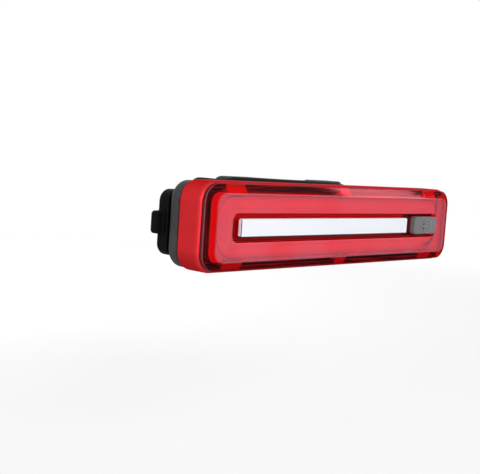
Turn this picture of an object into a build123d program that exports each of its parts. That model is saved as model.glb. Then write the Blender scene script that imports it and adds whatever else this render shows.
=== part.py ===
"""Bike rear light on a seat-post strap mount.

The origin is on the post's axis at the light's mid-height. +Z runs up the post, +X along the
light, and the lens faces -Y. Lengths are millimetres. Levels named *_at are distances in front
of the post's axis, so a larger level lies nearer the lens.
"""
import os
from math import radians

from build123d import *

# Shared clearances
close_gap = 0.05
loose_gap = 0.1
soft_gap = 0.2
overrun = 1.0

# Post and saddle
post_diameter = 27.2
pad_thickness = 1.1
pad_height = 22.4
saddle_web = 2.15
saddle_height = 23.2
saddle_corner = 4.0
saddle_front_width = 27.0
wing_reach = 27.5
wing_back_at = 6.6
wing_thickness = 4.2
wing_edge_round = 1.0

# Strap
strap_thickness = 2.2
strap_height = 16.0
strap_end_height = 21.6
strap_end_corner = 4.2
strap_end_front_at = 12.6
strap_tail_front_at = 17.2
strap_tail_height = 11.6
strap_tail_corner = 2.0
strap_bend_radius = 4.0
strap_slot_width = 2.2
strap_slot_height = 8.4
strap_slot_pitch = 4.8
hook_height = 7.8
hook_neck = 1.8
hook_head = 4.0
hook_head_thickness = 1.3

# Swivel and slide
swivel_gap = 0.1
rivet_radius = 2.0
rivet_head_radius = 3.6
rivet_head_thickness = 0.8
rivet_tail_radius = 3.2
rivet_tail_thickness = 0.7
washer_thickness = 0.25
plate_length = 29.6
plate_flange_width = 14.4
plate_flange = 1.6
plate_neck_width = 10.8
plate_corner = 1.5
tongue_root = 6.0
tongue_width = 6.0
tongue_slot = 0.8
detent_width = 4.0
detent_length = 1.6
detent_height = 0.3
groove_depth = 0.5
slide_travel = 34.0
rail_gap = 0.4
rail_lip = 1.2
rail_lip_overlap = 1.6
rail_wall = 1.6
rail_slide_gap = 0.2
rail_stop = 1.5

# Case
body_length = 111.5
body_height = 22.2
body_corner = 5.2
body_wall = 1.65
body_depth = 7.15
body_front_round = 1.1
ledge_thickness = 1.2
ledge_below_rim = 1.95
ledge_end_width = 3.1
ledge_side_width = 2.7
boss_radius = 2.6
boss_inset_x = 4.35
boss_inset_z = 4.5
screw_thread_radius = 0.9
screw_thread_length = 5.2
screw_head_radius = 1.7
screw_head_thickness = 1.0
screw_socket_radius = 0.8
screw_socket_depth = 0.6
gasket_thickness = 0.4
gasket_inset = 0.75
gasket_width = 1.3
cover_inset = 0.4
cover_depth = 3.55
cover_wall = 1.5
cover_back_round = 1.4
cover_post_radius = 1.9

# Lens and light guide
lens_end_inset = 0.65
lens_side_inset = 0.45
lens_corner = 4.6
lens_side = 0.9
lens_chamfer_depth = 1.4
lens_chamfer_ends = 3.25
lens_chamfer_sides = 2.5
lens_wall = 1.0
lens_drop_share = 0.65
panel_corner = 2.4
panel_edge_round = 0.35
panel_inner_inset = 0.3
slot_end_margin = 5.35
slot_height = 7.2
slot_corner = 2.0
slot_depth = 1.2
slot_floor = 0.9
slot_edge_round = 0.25
guide_below_panel = 2.0
guide_end_inset = 2.8
guide_side_inset = 2.15
guide_corner = 2.6
guide_groove_end_inset = 2.1
guide_groove_side_inset = 0.55
guide_groove_corner = 6.2
guide_groove_width = 0.45
guide_groove_depth = 0.6
frame_thickness = 0.6
frame_inset = 0.15
end_block_width = 6.8
mid_block_width = 4.6
end_block_inset = 11.1
block_depth = 1.8

# LED strip
strip_from_slot = 2.7
strip_from_button = 2.3
strip_width = 4.6
strip_corner = 0.6
strip_proud = 0.15
strip_flange = 0.4
strip_flange_ends = 0.5
strip_flange_sides = 0.9
strip_wall = 0.9
cob_board_inset = 0.1
phosphor_end_gap = 2.5
phosphor_width = 2.0
phosphor_height = 0.6
lead_radius = 0.35
lead_spread = 3.0
lead_inset = 1.2

# Button and switch
button_length = 14.3
button_width = 5.4
button_from_slot = 0.2
button_corner = 1.1
button_proud = 0.5
button_edge_round = 0.4
button_travel = 0.4
button_flange = 0.6
button_flange_rim = 0.4
button_nub_radius = 1.2
seal_thickness = 0.45
symbol_radius = 1.7
symbol_line = 0.4
symbol_height = 0.15
symbol_gap_angle = 50
symbol_offset_x = 1.8
switch_size = 5.2
switch_thickness = 1.2
switch_plunger_radius = 1.0
switch_plunger_stand = 0.4
switch_floor = 0.15

# Board, battery and socket
board_end_gap = 4.1
board_side_gap = 2.95
board_thickness = 0.8
board_corner = 1.0
battery_corner = 1.2
battery_side_gap = 1.7
battery_foam_thickness = 0.6
battery_from_socket = 5.85
battery_tape_thickness = 0.3
battery_pad_share = 0.7
battery_board_length = 2.2
battery_board_width = 11.0
wire_radius = 0.45
wire_spread = 4.0
wire_reach = 5.0
wire_dip = 1.3
wire_from_chip = 3.25
socket_inset = 8.25
socket_length = 9.0
socket_width = 3.3
socket_wall = 0.3
socket_base = 1.7
socket_sink = 0.05
tongue_of_socket_length = 6.7
tongue_of_socket_width = 0.7
tongue_of_socket_sink = 1.05
port_boss_height = 0.4
port_boss_rim = 1.6
port_clearance = 0.15
chip_thickness = 1.0
charge_chip_size = 4.0
charge_chip_from_socket = 7.85
driver_chip_size = 5.0
inductor_size = 6.0
inductor_height = 3.0
inductor_from_chip = 3.5
capacitor_length = 2.0
capacitor_width = 1.25
capacitor_height = 1.2
capacitor_pitch = 2.2
capacitor_from_inductor = 2.375
capacitor_from_end = 5.375
status_led_length = 1.6
status_led_width = 0.8
status_led_height = 0.7
status_led_from_switch = 2.25

# Rubber flap
flap_thickness = 3.5
flap_length = 9.6
flap_inset = 0.65
flap_side_gap = 2.55
flap_corner = 3.0
flap_edge_round = 0.6
flap_tab_length = 2.3
flap_tab_width = 5.6
flap_tab_thickness = 2.3
flap_tab_round = 0.8
flap_neck_length = 2.7
flap_neck_width = 8.0
flap_neck_thickness = 1.2
flap_nub_depth = 0.9
flap_nub_gap = 0.2
anchor_length = 3.6
anchor_stem_radius = 1.2
anchor_head_radius = 1.9
anchor_head_thickness = 0.6

# Levels, worked out from the post to the lens
post_radius = post_diameter / 2
pad_outer_at = post_radius + pad_thickness
saddle_bore_at = pad_outer_at + close_gap
saddle_front_at = saddle_bore_at + saddle_web
plate_back_at = saddle_front_at + swivel_gap
lip_back_at = plate_back_at + rail_gap
lip_front_at = lip_back_at + rail_lip
flange_back_at = lip_front_at + rail_slide_gap
flange_front_at = flange_back_at + plate_flange
cover_back_at = flange_front_at + rail_slide_gap
cover_floor_at = cover_back_at + cover_wall
cover_rim_at = cover_back_at + cover_depth
body_back_at = cover_rim_at + gasket_thickness
body_front_at = body_back_at + body_depth
ledge_front_at = body_front_at - ledge_below_rim
ledge_back_at = ledge_front_at - ledge_thickness
lens_shoulder_at = body_front_at + lens_side
panel_at = lens_shoulder_at + lens_chamfer_depth
slot_floor_at = panel_at - slot_depth
slot_under_at = slot_floor_at - slot_floor
guide_at = panel_at - guide_below_panel
guide_step_at = slot_under_at - close_gap
frame_back_at = ledge_front_at + close_gap
frame_front_at = frame_back_at + frame_thickness
strip_flange_at = slot_under_at - strip_flange
cob_back_at = frame_front_at + close_gap
board_front_at = ledge_back_at - close_gap
board_back_at = board_front_at - board_thickness
battery_front_at = board_back_at - battery_tape_thickness
battery_back_at = cover_floor_at + battery_foam_thickness
battery_thickness = battery_front_at - battery_back_at
port_face_at = cover_back_at - port_boss_height
socket_mouth_at = port_face_at + socket_sink
flap_front_at = port_face_at - soft_gap
flap_back_at = flap_front_at - flap_thickness

# Sizes shared by neighbours
body_inner_length = body_length - 2 * body_wall
body_inner_height = body_height - 2 * body_wall
body_inner_corner = body_corner - body_wall
cover_length = body_length - 2 * cover_inset
cover_height = body_height - 2 * cover_inset
cover_corner = body_corner - cover_inset
boss_x = body_length / 2 - boss_inset_x
boss_z = body_height / 2 - boss_inset_z
ledge_length = body_inner_length - 2 * ledge_end_width
ledge_height = body_inner_height - 2 * ledge_side_width
lens_length = body_length - 2 * lens_end_inset
lens_height = body_height - 2 * lens_side_inset
panel_length = lens_length - 2 * lens_chamfer_ends
panel_height = lens_height - 2 * lens_chamfer_sides
guide_length = lens_length - 2 * guide_end_inset
guide_height = lens_height - 2 * guide_side_inset
end_block_place = lens_length / 2 - end_block_inset
slot_length = panel_length - 2 * slot_end_margin
strip_length = slot_length - strip_from_slot - strip_from_button - button_length - button_from_slot
strip_centre_x = -slot_length / 2 + strip_from_slot + strip_length / 2
phosphor_length = strip_length - 2 * phosphor_end_gap
button_centre_x = slot_length / 2 - button_from_slot - button_length / 2
board_length = body_inner_length - 2 * board_end_gap
board_height = body_inner_height - 2 * board_side_gap
capacitor_x = board_length / 2 - capacitor_from_end - capacitor_width / 2
inductor_x = capacitor_x - capacitor_width / 2 - capacitor_from_inductor - inductor_size / 2
driver_chip_x = inductor_x - inductor_size / 2 - inductor_from_chip - driver_chip_size / 2
status_led_x = button_centre_x - switch_size / 2 - status_led_from_switch - status_led_length / 2
socket_centre_x = -body_length / 2 + socket_inset
charge_chip_x = socket_centre_x + socket_width / 2 + charge_chip_from_socket + charge_chip_size / 2
wires_end_x = driver_chip_x - driver_chip_size / 2 - wire_from_chip
battery_right_x = wires_end_x - wire_reach - battery_board_length - close_gap
battery_left_x = socket_centre_x + socket_width / 2 + battery_from_socket
battery_length = battery_right_x - battery_left_x
battery_width = cover_height - 2 * cover_wall - 2 * battery_side_gap
battery_centre_x = (battery_left_x + battery_right_x) / 2
window_left_x = strip_centre_x - strip_length / 2 - strip_flange_ends - loose_gap
window_right_x = button_centre_x + button_length / 2 + button_flange_rim + loose_gap
window_width = max(strip_width + 2 * strip_flange_sides, button_width + 2 * button_flange_rim) + 2 * loose_gap
flap_left_x = -body_length / 2 + flap_inset
flap_right_x = flap_left_x + flap_length
flap_height = cover_height - 2 * flap_side_gap
hinge_x = flap_right_x + flap_neck_length + loose_gap
rail_inner_z = plate_flange_width / 2 + rail_slide_gap
rail_end_x = plate_length / 2 + rail_slide_gap
button_flange_at = slot_under_at - seal_thickness - close_gap
button_flange_back_at = button_flange_at - button_flange
switch_front_at = board_front_at + switch_thickness
plunger_tip_at = switch_front_at + switch_plunger_stand
wing_end_out = wing_reach + close_gap
strap_mid_x = wing_end_out + strap_thickness / 2


def slab(length, height, corner, low, high, x=0, z=0):
    """Rounded plate between two levels."""
    outline = Plane.XZ.offset(low) * Pos(x, z) * RectangleRounded(length, height, corner)
    return extrude(outline, high - low)


def block(length, height, low, high, x=0, z=0):
    """Square-cornered plate between two levels."""
    outline = Plane.XZ.offset(low) * Pos(x, z) * Rectangle(length, height)
    return extrude(outline, high - low)


def pill(length, width, low, high, x=0, z=0):
    """Plate with round ends, its length upright."""
    outline = Plane.XZ.offset(low) * Pos(x, z) * Rot(0, 0, 90) * SlotOverall(length, width)
    return extrude(outline, high - low)


def rod(radius, low, high, x=0, z=0):
    """Cylinder between two levels."""
    outline = Plane.XZ.offset(low) * Pos(x, z) * Circle(radius)
    return extrude(outline, high - low)


def upright(profile, height):
    """A plan profile carried half its height up and half down."""
    return extrude(profile, height / 2, both=True)


def edges_at(solid, level):
    """Edges that lie in the plane of a level."""
    return solid.edges().filter_by_position(Axis.Y, -level, -level)


def corners():
    """Places of the four case screws."""
    return [(side * boss_x, rise * boss_z) for side in (-1, 1) for rise in (-1, 1)]


# Lens and what shows through it

def lens_outside():
    """Outer form of the lens: side, chamfer and flat panel."""
    side = slab(lens_length, lens_height, lens_corner, body_front_at, lens_shoulder_at)
    shoulder = Plane.XZ.offset(lens_shoulder_at) * RectangleRounded(lens_length, lens_height, lens_corner)
    panel = Plane.XZ.offset(panel_at) * RectangleRounded(panel_length, panel_height, panel_corner)
    return side + loft([shoulder, panel], ruled=True)


def lens_hollow(gap):
    """Space under the lens, drawn in by a gap."""
    inset = lens_wall + gap
    outline_at = lens_shoulder_at - lens_wall * lens_drop_share
    length, height = lens_length - 2 * inset, lens_height - 2 * inset
    wide = Plane.XZ.offset(outline_at) * RectangleRounded(length, height, lens_corner - inset)
    panel_inset = panel_inner_inset + gap
    narrow_size = (panel_length - 2 * panel_inset, panel_height - 2 * panel_inset)
    narrow = Plane.XZ.offset(panel_at - inset) * RectangleRounded(*narrow_size, panel_corner - panel_inset)
    side = slab(length, height, lens_corner - inset, body_front_at, outline_at)
    return side + loft([wide, narrow], ruled=True)


def front_lens():
    lens = lens_outside()
    lens = fillet(edges_at(lens, panel_at), panel_edge_round)
    lens -= lens_hollow(0)
    tray_size = (slot_length + 2 * lens_wall, slot_height + 2 * lens_wall, slot_corner + lens_wall)
    lens += slab(*tray_size, slot_under_at, panel_at - lens_wall)
    slot = slab(slot_length, slot_height, slot_corner, slot_floor_at, panel_at + overrun)
    lens -= slot
    rim = edges_at(lens, panel_at).filter_by_position(Axis.X, -slot_length / 2, slot_length / 2)
    rim = rim.filter_by_position(Axis.Z, -slot_height / 2, slot_height / 2)
    lens = fillet(rim, slot_edge_round)
    under, over = slot_under_at - overrun, slot_floor_at + overrun
    strip_hole = (strip_length + 2 * close_gap, strip_width + 2 * close_gap, strip_corner + close_gap)
    lens -= slab(*strip_hole, under, over, strip_centre_x)
    button_hole = (button_length + 2 * close_gap, button_width + 2 * close_gap, button_corner + close_gap)
    lens -= slab(*button_hole, under, over, button_centre_x)
    return lens


def guide_plate(gap=0):
    """Outer form of the light guide, grown by a gap."""
    low, high = frame_front_at + close_gap, guide_at + gap
    return slab(guide_length + 2 * gap, guide_height + 2 * gap, guide_corner + gap, low - gap, high)


def diffuser_panel():
    guide = guide_plate()
    margin = lens_wall + loose_gap
    hole = (slot_length + 2 * margin, slot_height + 2 * margin, slot_corner + margin)
    guide -= slab(*hole, guide_step_at, guide_at + overrun)
    window = (window_right_x - window_left_x, window_width)
    guide -= block(*window, frame_front_at, guide_at, (window_left_x + window_right_x) / 2)
    length = guide_length - 2 * guide_groove_end_inset
    height = guide_height - 2 * guide_groove_side_inset
    low, high = guide_at - guide_groove_depth, guide_at + overrun
    ring = slab(length, height, guide_groove_corner, low, high)
    narrow = 2 * guide_groove_width
    corner = guide_groove_corner - guide_groove_width
    ring -= slab(length - narrow, height - narrow, corner, low - overrun, high + overrun)
    return guide - ring


def inner_frame():
    size = (body_inner_length - 2 * frame_inset, body_inner_height - 2 * frame_inset)
    frame = slab(*size, body_inner_corner - frame_inset, frame_back_at, frame_front_at)
    rim = button_flange_rim + loose_gap
    window = (button_length + 2 * rim, button_width + 2 * rim)
    frame -= block(*window, frame_back_at - overrun, frame_front_at + overrun, button_centre_x)
    for x, z in lead_places():
        frame -= rod(lead_radius + loose_gap, frame_back_at - overrun, frame_front_at + overrun, x, z)
    return frame


def light_blocks():
    room = (body_inner_length - 2 * frame_inset, body_inner_height - 2 * frame_inset)
    hollow = lens_hollow(close_gap)
    hollow += slab(*room, body_inner_corner - frame_inset, frame_front_at, body_front_at)
    widths = {-end_block_place: end_block_width, 0: mid_block_width, end_block_place: end_block_width}
    blocks = []
    for x, width in widths.items():
        for side in (-1, 1):
            z = side * (lens_height / 2 - lens_wall - block_depth / 2)
            box = block(width, block_depth, frame_front_at, panel_at, x, z)
            blocks.append((box & hollow) - guide_plate(close_gap))
    return Compound(children=[solid for piece in blocks for solid in piece.solids()])


# LED strip

def cob_board_size():
    """Length and width of the LED board, a little less than the cover's flange."""
    inset = 2 * cob_board_inset
    return (strip_length + 2 * strip_flange_ends - inset, strip_width + 2 * strip_flange_sides - inset)


def lead_places():
    """Places of the two pins at the LED board's left end."""
    x = strip_centre_x - cob_board_size()[0] / 2 + lead_inset
    return [(x, side * lead_spread / 2) for side in (-1, 1)]


def strip_cover():
    bar = slab(strip_length, strip_width, strip_corner, slot_under_at, panel_at + strip_proud, strip_centre_x)
    size = (strip_length + 2 * strip_flange_ends, strip_width + 2 * strip_flange_sides)
    cover = bar + block(*size, strip_flange_at, slot_under_at, strip_centre_x)
    room = (strip_length - 2 * strip_wall, strip_width - 2 * strip_wall)
    return cover - block(*room, strip_flange_at - overrun, panel_at - strip_wall, strip_centre_x)


def cob_board():
    board = block(*cob_board_size(), cob_back_at, strip_flange_at, strip_centre_x)
    for x, z in lead_places():
        board -= rod(lead_radius + close_gap, cob_back_at - overrun, strip_flange_at + overrun, x, z)
    return board


def cob_phosphor():
    high = strip_flange_at + phosphor_height
    return slab(phosphor_length, phosphor_width, phosphor_width / 3, strip_flange_at, high, strip_centre_x)


def cob_leads():
    pins = [rod(lead_radius, board_front_at, strip_flange_at, x, z) for x, z in lead_places()]
    return Compound(children=pins)


# Button and switch

def power_symbol():
    """Open ring and bar, its gap towards the strip."""
    face = Plane.XZ.offset(panel_at + button_proud) * Pos(button_centre_x + symbol_offset_x, 0)
    ring = Circle(symbol_radius + symbol_line / 2) - Circle(symbol_radius - symbol_line / 2)
    gap_width = symbol_radius * radians(symbol_gap_angle) + symbol_line
    ring -= Pos(-symbol_radius, 0) * Rectangle(symbol_radius, gap_width)
    bar = Pos(-symbol_radius * 3 / 4, 0) * Rectangle(symbol_radius, symbol_line)
    return extrude(face * (ring + bar), symbol_height)


def button_cap():
    face_at = panel_at + button_proud
    cap = slab(button_length, button_width, button_corner, button_flange_at, face_at, button_centre_x)
    cap = fillet(edges_at(cap, face_at), button_edge_round)
    size = (button_length + 2 * button_flange_rim, button_width + 2 * button_flange_rim)
    cap += slab(*size, button_corner, button_flange_back_at, button_flange_at, button_centre_x)
    cap += rod(button_nub_radius, plunger_tip_at + close_gap, button_flange_back_at, button_centre_x)
    return cap + power_symbol()


def button_seal():
    size = (button_length + 2 * button_flange_rim, button_width + 2 * button_flange_rim)
    ring = slab(*size, button_corner, slot_under_at - seal_thickness, slot_under_at, button_centre_x)
    hole = (button_length + 2 * close_gap, button_width + 2 * close_gap, button_corner + close_gap)
    return ring - slab(*hole, slot_under_at - overrun, slot_under_at + overrun, button_centre_x)


def switch_body():
    body = block(switch_size, switch_size, board_front_at, switch_front_at, button_centre_x)
    well = rod(switch_plunger_radius + close_gap, board_front_at + switch_floor, switch_front_at + overrun)
    return body - Pos(button_centre_x, 0, 0) * well


def switch_plunger():
    low = board_front_at + switch_floor + button_travel + close_gap
    return rod(switch_plunger_radius, low, plunger_tip_at, button_centre_x)


# Case

def mid_body():
    shell = slab(body_length, body_height, body_corner, body_back_at, body_front_at)
    shell = fillet(edges_at(shell, body_front_at), body_front_round)
    room = (body_inner_length, body_inner_height, body_inner_corner)
    shell -= slab(*room, body_back_at - overrun, body_front_at + overrun)
    ledge = slab(*room, ledge_back_at, ledge_front_at)
    bosses = [rod(boss_radius, body_back_at, ledge_front_at, x, z) for x, z in corners()]
    inside = ledge - block(ledge_length, ledge_height, ledge_back_at - overrun, ledge_front_at + overrun)
    for boss in bosses:
        inside += boss
    inside &= slab(*room, body_back_at, body_front_at)
    shell += inside
    for x, z in corners():
        shell -= rod(screw_thread_radius, body_back_at - overrun, screw_tip_at(), x, z)
    return shell


def screw_seat_at():
    """Level of the screw head's seat in the back cover."""
    return cover_back_at + screw_head_thickness + loose_gap


def screw_tip_at():
    """Level that the screws' tips reach."""
    return screw_seat_at() + screw_thread_length


def body_gasket():
    outer = (body_length - 2 * gasket_inset, body_height - 2 * gasket_inset, body_corner - gasket_inset)
    inset = gasket_inset + gasket_width
    inner = (body_length - 2 * inset, body_height - 2 * inset, body_corner - inset)
    ring = slab(*outer, cover_rim_at, body_back_at)
    return ring - slab(*inner, cover_rim_at - overrun, body_back_at + overrun)


def rails():
    """Two L-shaped rails and the stop that closes their left end."""
    rail_length = 2 * rail_end_x
    wall_z = rail_inner_z + rail_wall / 2
    lip_width = rail_wall + rail_lip_overlap
    lip_z = rail_inner_z + rail_wall - lip_width / 2
    pieces = block(rail_stop, 2 * (rail_inner_z + rail_wall), lip_back_at, cover_back_at,
                   -rail_end_x - rail_stop / 2)
    for side in (-1, 1):
        pieces += block(rail_length, rail_wall, lip_back_at, cover_back_at, 0, side * wall_z)
        pieces += block(rail_length, lip_width, lip_back_at, lip_front_at, 0, side * lip_z)
    return pieces


def back_cover():
    cover = slab(cover_length, cover_height, cover_corner, cover_back_at, cover_rim_at)
    cover = fillet(edges_at(cover, cover_back_at), cover_back_round)
    room = (cover_length - 2 * cover_wall, cover_height - 2 * cover_wall, cover_corner - cover_wall)
    cover -= slab(*room, cover_floor_at, cover_rim_at + overrun)
    for x, z in corners():
        cover += rod(cover_post_radius, cover_floor_at, body_back_at - close_gap, x, z)
    cover += rails()
    rim = 2 * port_boss_rim
    cover += pill(socket_length + rim, socket_width + rim, port_face_at, cover_back_at, socket_centre_x)
    hole = (socket_length + 2 * port_clearance, socket_width + 2 * port_clearance)
    cover -= pill(*hole, port_face_at - overrun, cover_floor_at + overrun, socket_centre_x)
    for x, z in corners():
        cover -= rod(screw_thread_radius + loose_gap, cover_back_at, body_back_at + overrun, x, z)
        cover -= rod(screw_head_radius + loose_gap, port_face_at - overrun, screw_seat_at(), x, z)
    groove_start = detent_x() - detent_length
    groove_end = detent_x() + slide_travel + detent_length
    groove_middle = (groove_start + groove_end) / 2
    groove = (groove_end - groove_start, detent_width + 2 * soft_gap)
    cover -= block(*groove, cover_back_at - loose_gap, cover_back_at + groove_depth, groove_middle)
    for x, z in anchor_places():
        cover -= rod(anchor_stem_radius + close_gap, port_face_at - overrun, cover_floor_at + overrun, x, z)
    return cover


def cover_screws():
    screws = []
    for x, z in corners():
        head_low = screw_seat_at() - screw_head_thickness
        screw = rod(screw_head_radius, head_low, screw_seat_at(), x, z)
        screw += rod(screw_thread_radius - close_gap, screw_seat_at(), screw_tip_at() - close_gap, x, z)
        screw -= rod(screw_socket_radius, head_low - overrun, head_low + screw_socket_depth, x, z)
        screws.extend(screw.solids())
    return Compound(children=screws)


# Electronics

def main_board():
    board = slab(board_length, board_height, board_corner, board_back_at, board_front_at)
    for x, z in corners():
        board -= rod(boss_radius + soft_gap, board_back_at - overrun, board_front_at + overrun, x, z)
    return board


def battery_cell():
    size = (battery_length, battery_width, battery_corner)
    return slab(*size, battery_back_at, battery_front_at, battery_centre_x)


def battery_tape():
    size = (battery_length * battery_pad_share, battery_width * battery_pad_share)
    return block(*size, battery_front_at, board_back_at, battery_centre_x)


def battery_foam():
    size = (battery_length * battery_pad_share, battery_width * battery_pad_share)
    return block(*size, cover_floor_at, battery_back_at, battery_centre_x)


def battery_end_x():
    """Right end of the cell, where its protection board sits."""
    return battery_right_x + close_gap


def battery_board():
    middle = battery_end_x() + battery_board_length / 2
    low = battery_front_at - battery_thickness * battery_pad_share
    return block(battery_board_length, battery_board_width, low, battery_front_at, middle)


def battery_wires():
    start_x = battery_end_x() + battery_board_length
    start_at = battery_front_at - battery_thickness / 2
    wires = []
    for side in (-1, 1):
        z = side * wire_spread / 2
        start = Vector(start_x, -start_at, z)
        bend = Vector(start_x + wire_reach, -start_at, z)
        end = Vector(start_x + wire_reach, -board_back_at, z)
        path = FilletPolyline(start, bend, end, radius=wire_dip)
        wires.append(sweep(Plane(start, z_dir=(1, 0, 0)) * Circle(wire_radius), path))
    return Compound(children=[solid for wire in wires for solid in wire.solids()])


def usb_shell():
    shell = pill(socket_length, socket_width, socket_mouth_at, board_back_at, socket_centre_x)
    room = (socket_length - 2 * socket_wall, socket_width - 2 * socket_wall)
    return shell - pill(*room, socket_mouth_at - overrun, board_back_at - socket_base, socket_centre_x)


def usb_tongue():
    low = socket_mouth_at + tongue_of_socket_sink
    size = (tongue_of_socket_width, tongue_of_socket_length)
    return block(*size, low, board_back_at - socket_base, socket_centre_x)


def charge_chip():
    low = board_front_at
    return block(charge_chip_size, charge_chip_size, low, low + chip_thickness, charge_chip_x)


def driver_chip():
    low = board_back_at - chip_thickness
    return block(driver_chip_size, driver_chip_size, low, board_back_at, driver_chip_x)


def inductor():
    low = board_back_at - inductor_height
    return slab(inductor_size, inductor_size, board_corner, low, board_back_at, inductor_x)


def capacitors():
    low = board_back_at - capacitor_height
    size = (capacitor_width, capacitor_length)
    steps = (-1, 0, 1)
    return Compound(children=[block(*size, low, board_back_at, capacitor_x, capacitor_pitch * step)
                              for step in steps])


def status_led():
    high = board_front_at + status_led_height
    return block(status_led_length, status_led_width, board_front_at, high, status_led_x)


# Rubber flap over the charging socket

def port_flap():
    middle = flap_left_x + flap_length / 2
    flap = slab(flap_length, flap_height, flap_corner, flap_back_at, flap_front_at, middle)
    tab_length = flap_tab_length + flap_corner
    tab_middle = flap_left_x - flap_tab_length + tab_length / 2
    tab_high = flap_back_at + flap_tab_thickness
    flap += slab(tab_length, flap_tab_width, flap_tab_round, flap_back_at, tab_high, tab_middle)
    flap = fillet(edges_at(flap, flap_back_at), flap_edge_round)
    neck_middle = flap_right_x + flap_neck_length / 2
    neck_low = flap_front_at - flap_neck_thickness
    flap += block(flap_neck_length, flap_neck_width, neck_low, flap_front_at, neck_middle)
    shrink = 2 * (socket_wall + flap_nub_gap)
    nub = (socket_length - shrink, socket_width - shrink)
    return flap + pill(*nub, flap_front_at, flap_front_at + flap_nub_depth, socket_centre_x)


def anchor_places():
    """Places of the two rubber stems that hold the flap's anchor."""
    x = hinge_x + loose_gap + anchor_length / 2
    return [(x, side * flap_neck_width / 4) for side in (-1, 1)]


def flap_anchor():
    middle = hinge_x + loose_gap + anchor_length / 2
    pad = block(anchor_length, flap_neck_width, flap_front_at + close_gap, cover_back_at, middle)
    for x, z in anchor_places():
        pad += rod(anchor_stem_radius, flap_front_at + close_gap, cover_floor_at, x, z)
        head_high = cover_floor_at + anchor_head_thickness
        pad += rod(anchor_head_radius, cover_floor_at, head_high, x, z)
    return pad


# Slide, swivel, saddle and strap

def detent_x():
    """Place of the detent near the free end of the spring tongue."""
    return plate_length / 2 - detent_length * 2


def slide_plate():
    flange_size = (plate_length, plate_flange_width, plate_corner)
    plate = slab(*flange_size, flange_back_at, flange_front_at)
    plate += slab(plate_length, plate_neck_width, plate_corner, plate_back_at, flange_front_at)
    detent = (detent_length, detent_width)
    plate += block(*detent, flange_front_at, flange_front_at + rail_slide_gap + detent_height, detent_x())
    slot_length_here = plate_length / 2 - tongue_root + overrun
    slot_middle = tongue_root + slot_length_here / 2
    for side in (-1, 1):
        z = side * (tongue_width + tongue_slot) / 2
        cut = (slot_length_here, tongue_slot)
        plate -= block(*cut, plate_back_at - overrun, flange_front_at + overrun, slot_middle, z)
    plate -= rod(rivet_radius + close_gap, plate_back_at - overrun, flange_front_at + overrun)
    plate -= rod(rivet_head_radius + loose_gap, washer_back_at() - close_gap, flange_front_at + overrun)
    return plate


def washer_back_at():
    """Level of the washer's seat in the slide plate."""
    return flange_front_at - rivet_head_thickness - washer_thickness - loose_gap


def swivel_washer():
    low = washer_back_at()
    washer = rod(rivet_head_radius, low, low + washer_thickness)
    return washer - rod(rivet_radius + close_gap, low - overrun, low + overrun)


def swivel_rivet():
    head_low = washer_back_at() + washer_thickness
    tail_high = saddle_bore_at + rivet_tail_thickness
    rivet = rod(rivet_radius, saddle_bore_at, head_low)
    rivet += rod(rivet_head_radius, head_low, head_low + rivet_head_thickness)
    return rivet + rod(rivet_tail_radius, saddle_bore_at, tail_high)


def saddle_plan():
    """Plan outline of the saddle: flat front, sloping shoulders and two wings."""
    half_front = saddle_front_width / 2
    wing_front = wing_back_at + wing_thickness
    right = [(half_front, -saddle_front_at), (wing_reach, -wing_front), (wing_reach, -wing_back_at)]
    left = [(-x, y) for x, y in reversed(right)]
    outline = make_face(Polyline(*right, *left, close=True))
    return outline - Circle(saddle_bore_at)


def hook_at():
    """Level of the hooks' middle, in the middle of the wing's end."""
    return wing_back_at + wing_thickness / 2


def saddle():
    frame = upright(saddle_plan(), saddle_height)
    frame &= slab(2 * wing_reach, saddle_height, saddle_corner, 0, saddle_front_at + overrun)
    for side in (-1, 1):
        neck_length = close_gap + strap_thickness + loose_gap
        neck_x = side * (wing_reach + neck_length / 2)
        low, high = hook_at() - hook_neck / 2, hook_at() + hook_neck / 2
        frame += block(neck_length, hook_height, low, high, neck_x)
        head_x = side * (wing_reach + neck_length + hook_head_thickness / 2)
        low, high = hook_at() - hook_head / 2, hook_at() + hook_head / 2
        frame += slab(hook_head_thickness, hook_height, wing_edge_round / 2, low, high, head_x)
    frame -= rod(rivet_radius + close_gap, 0, saddle_front_at + overrun)
    frame -= rod(rivet_tail_radius + loose_gap, 0, saddle_bore_at + rivet_tail_thickness + close_gap)
    return frame


def saddle_pad():
    ring = Circle(pad_outer_at) - Circle(post_radius)
    front = Pos(0, -wing_back_at - post_diameter / 2) * Rectangle(2 * post_diameter, post_diameter)
    pad = upright(ring & front, pad_height)
    return pad - rod(rivet_tail_radius + loose_gap, 0, saddle_front_at)


def strap_path():
    """Middle line of the strap in plan, from the left hook round the post to the right one."""
    mid_radius = post_radius + strap_thickness / 2
    corner = Vector(strap_mid_x, 0)
    reach = corner.length
    turn = (reach ** 2 - mid_radius ** 2) ** 0.5
    touch_x = mid_radius ** 2 / reach
    touch_y = mid_radius * turn / reach
    ends = []
    for side in (-1, 1):
        points = [(side * strap_mid_x, -hook_at()), (side * strap_mid_x, 0), (side * touch_x, touch_y)]
        ends.append(FilletPolyline(*points, radius=strap_bend_radius))
    back = ThreePointArc((-touch_x, touch_y), (0, mid_radius), (touch_x, touch_y))
    return ends[0] + back + ends[1]


def strap_plate(side, front_at, height, corner):
    """Upright plate at one end of the strap, from the bend to a level in front of it."""
    face = Plane.YZ.offset(side * strap_mid_x - strap_thickness / 2) * Pos(-front_at / 2, 0)
    return extrude(face * RectangleRounded(front_at, height, corner), strap_thickness)


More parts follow.
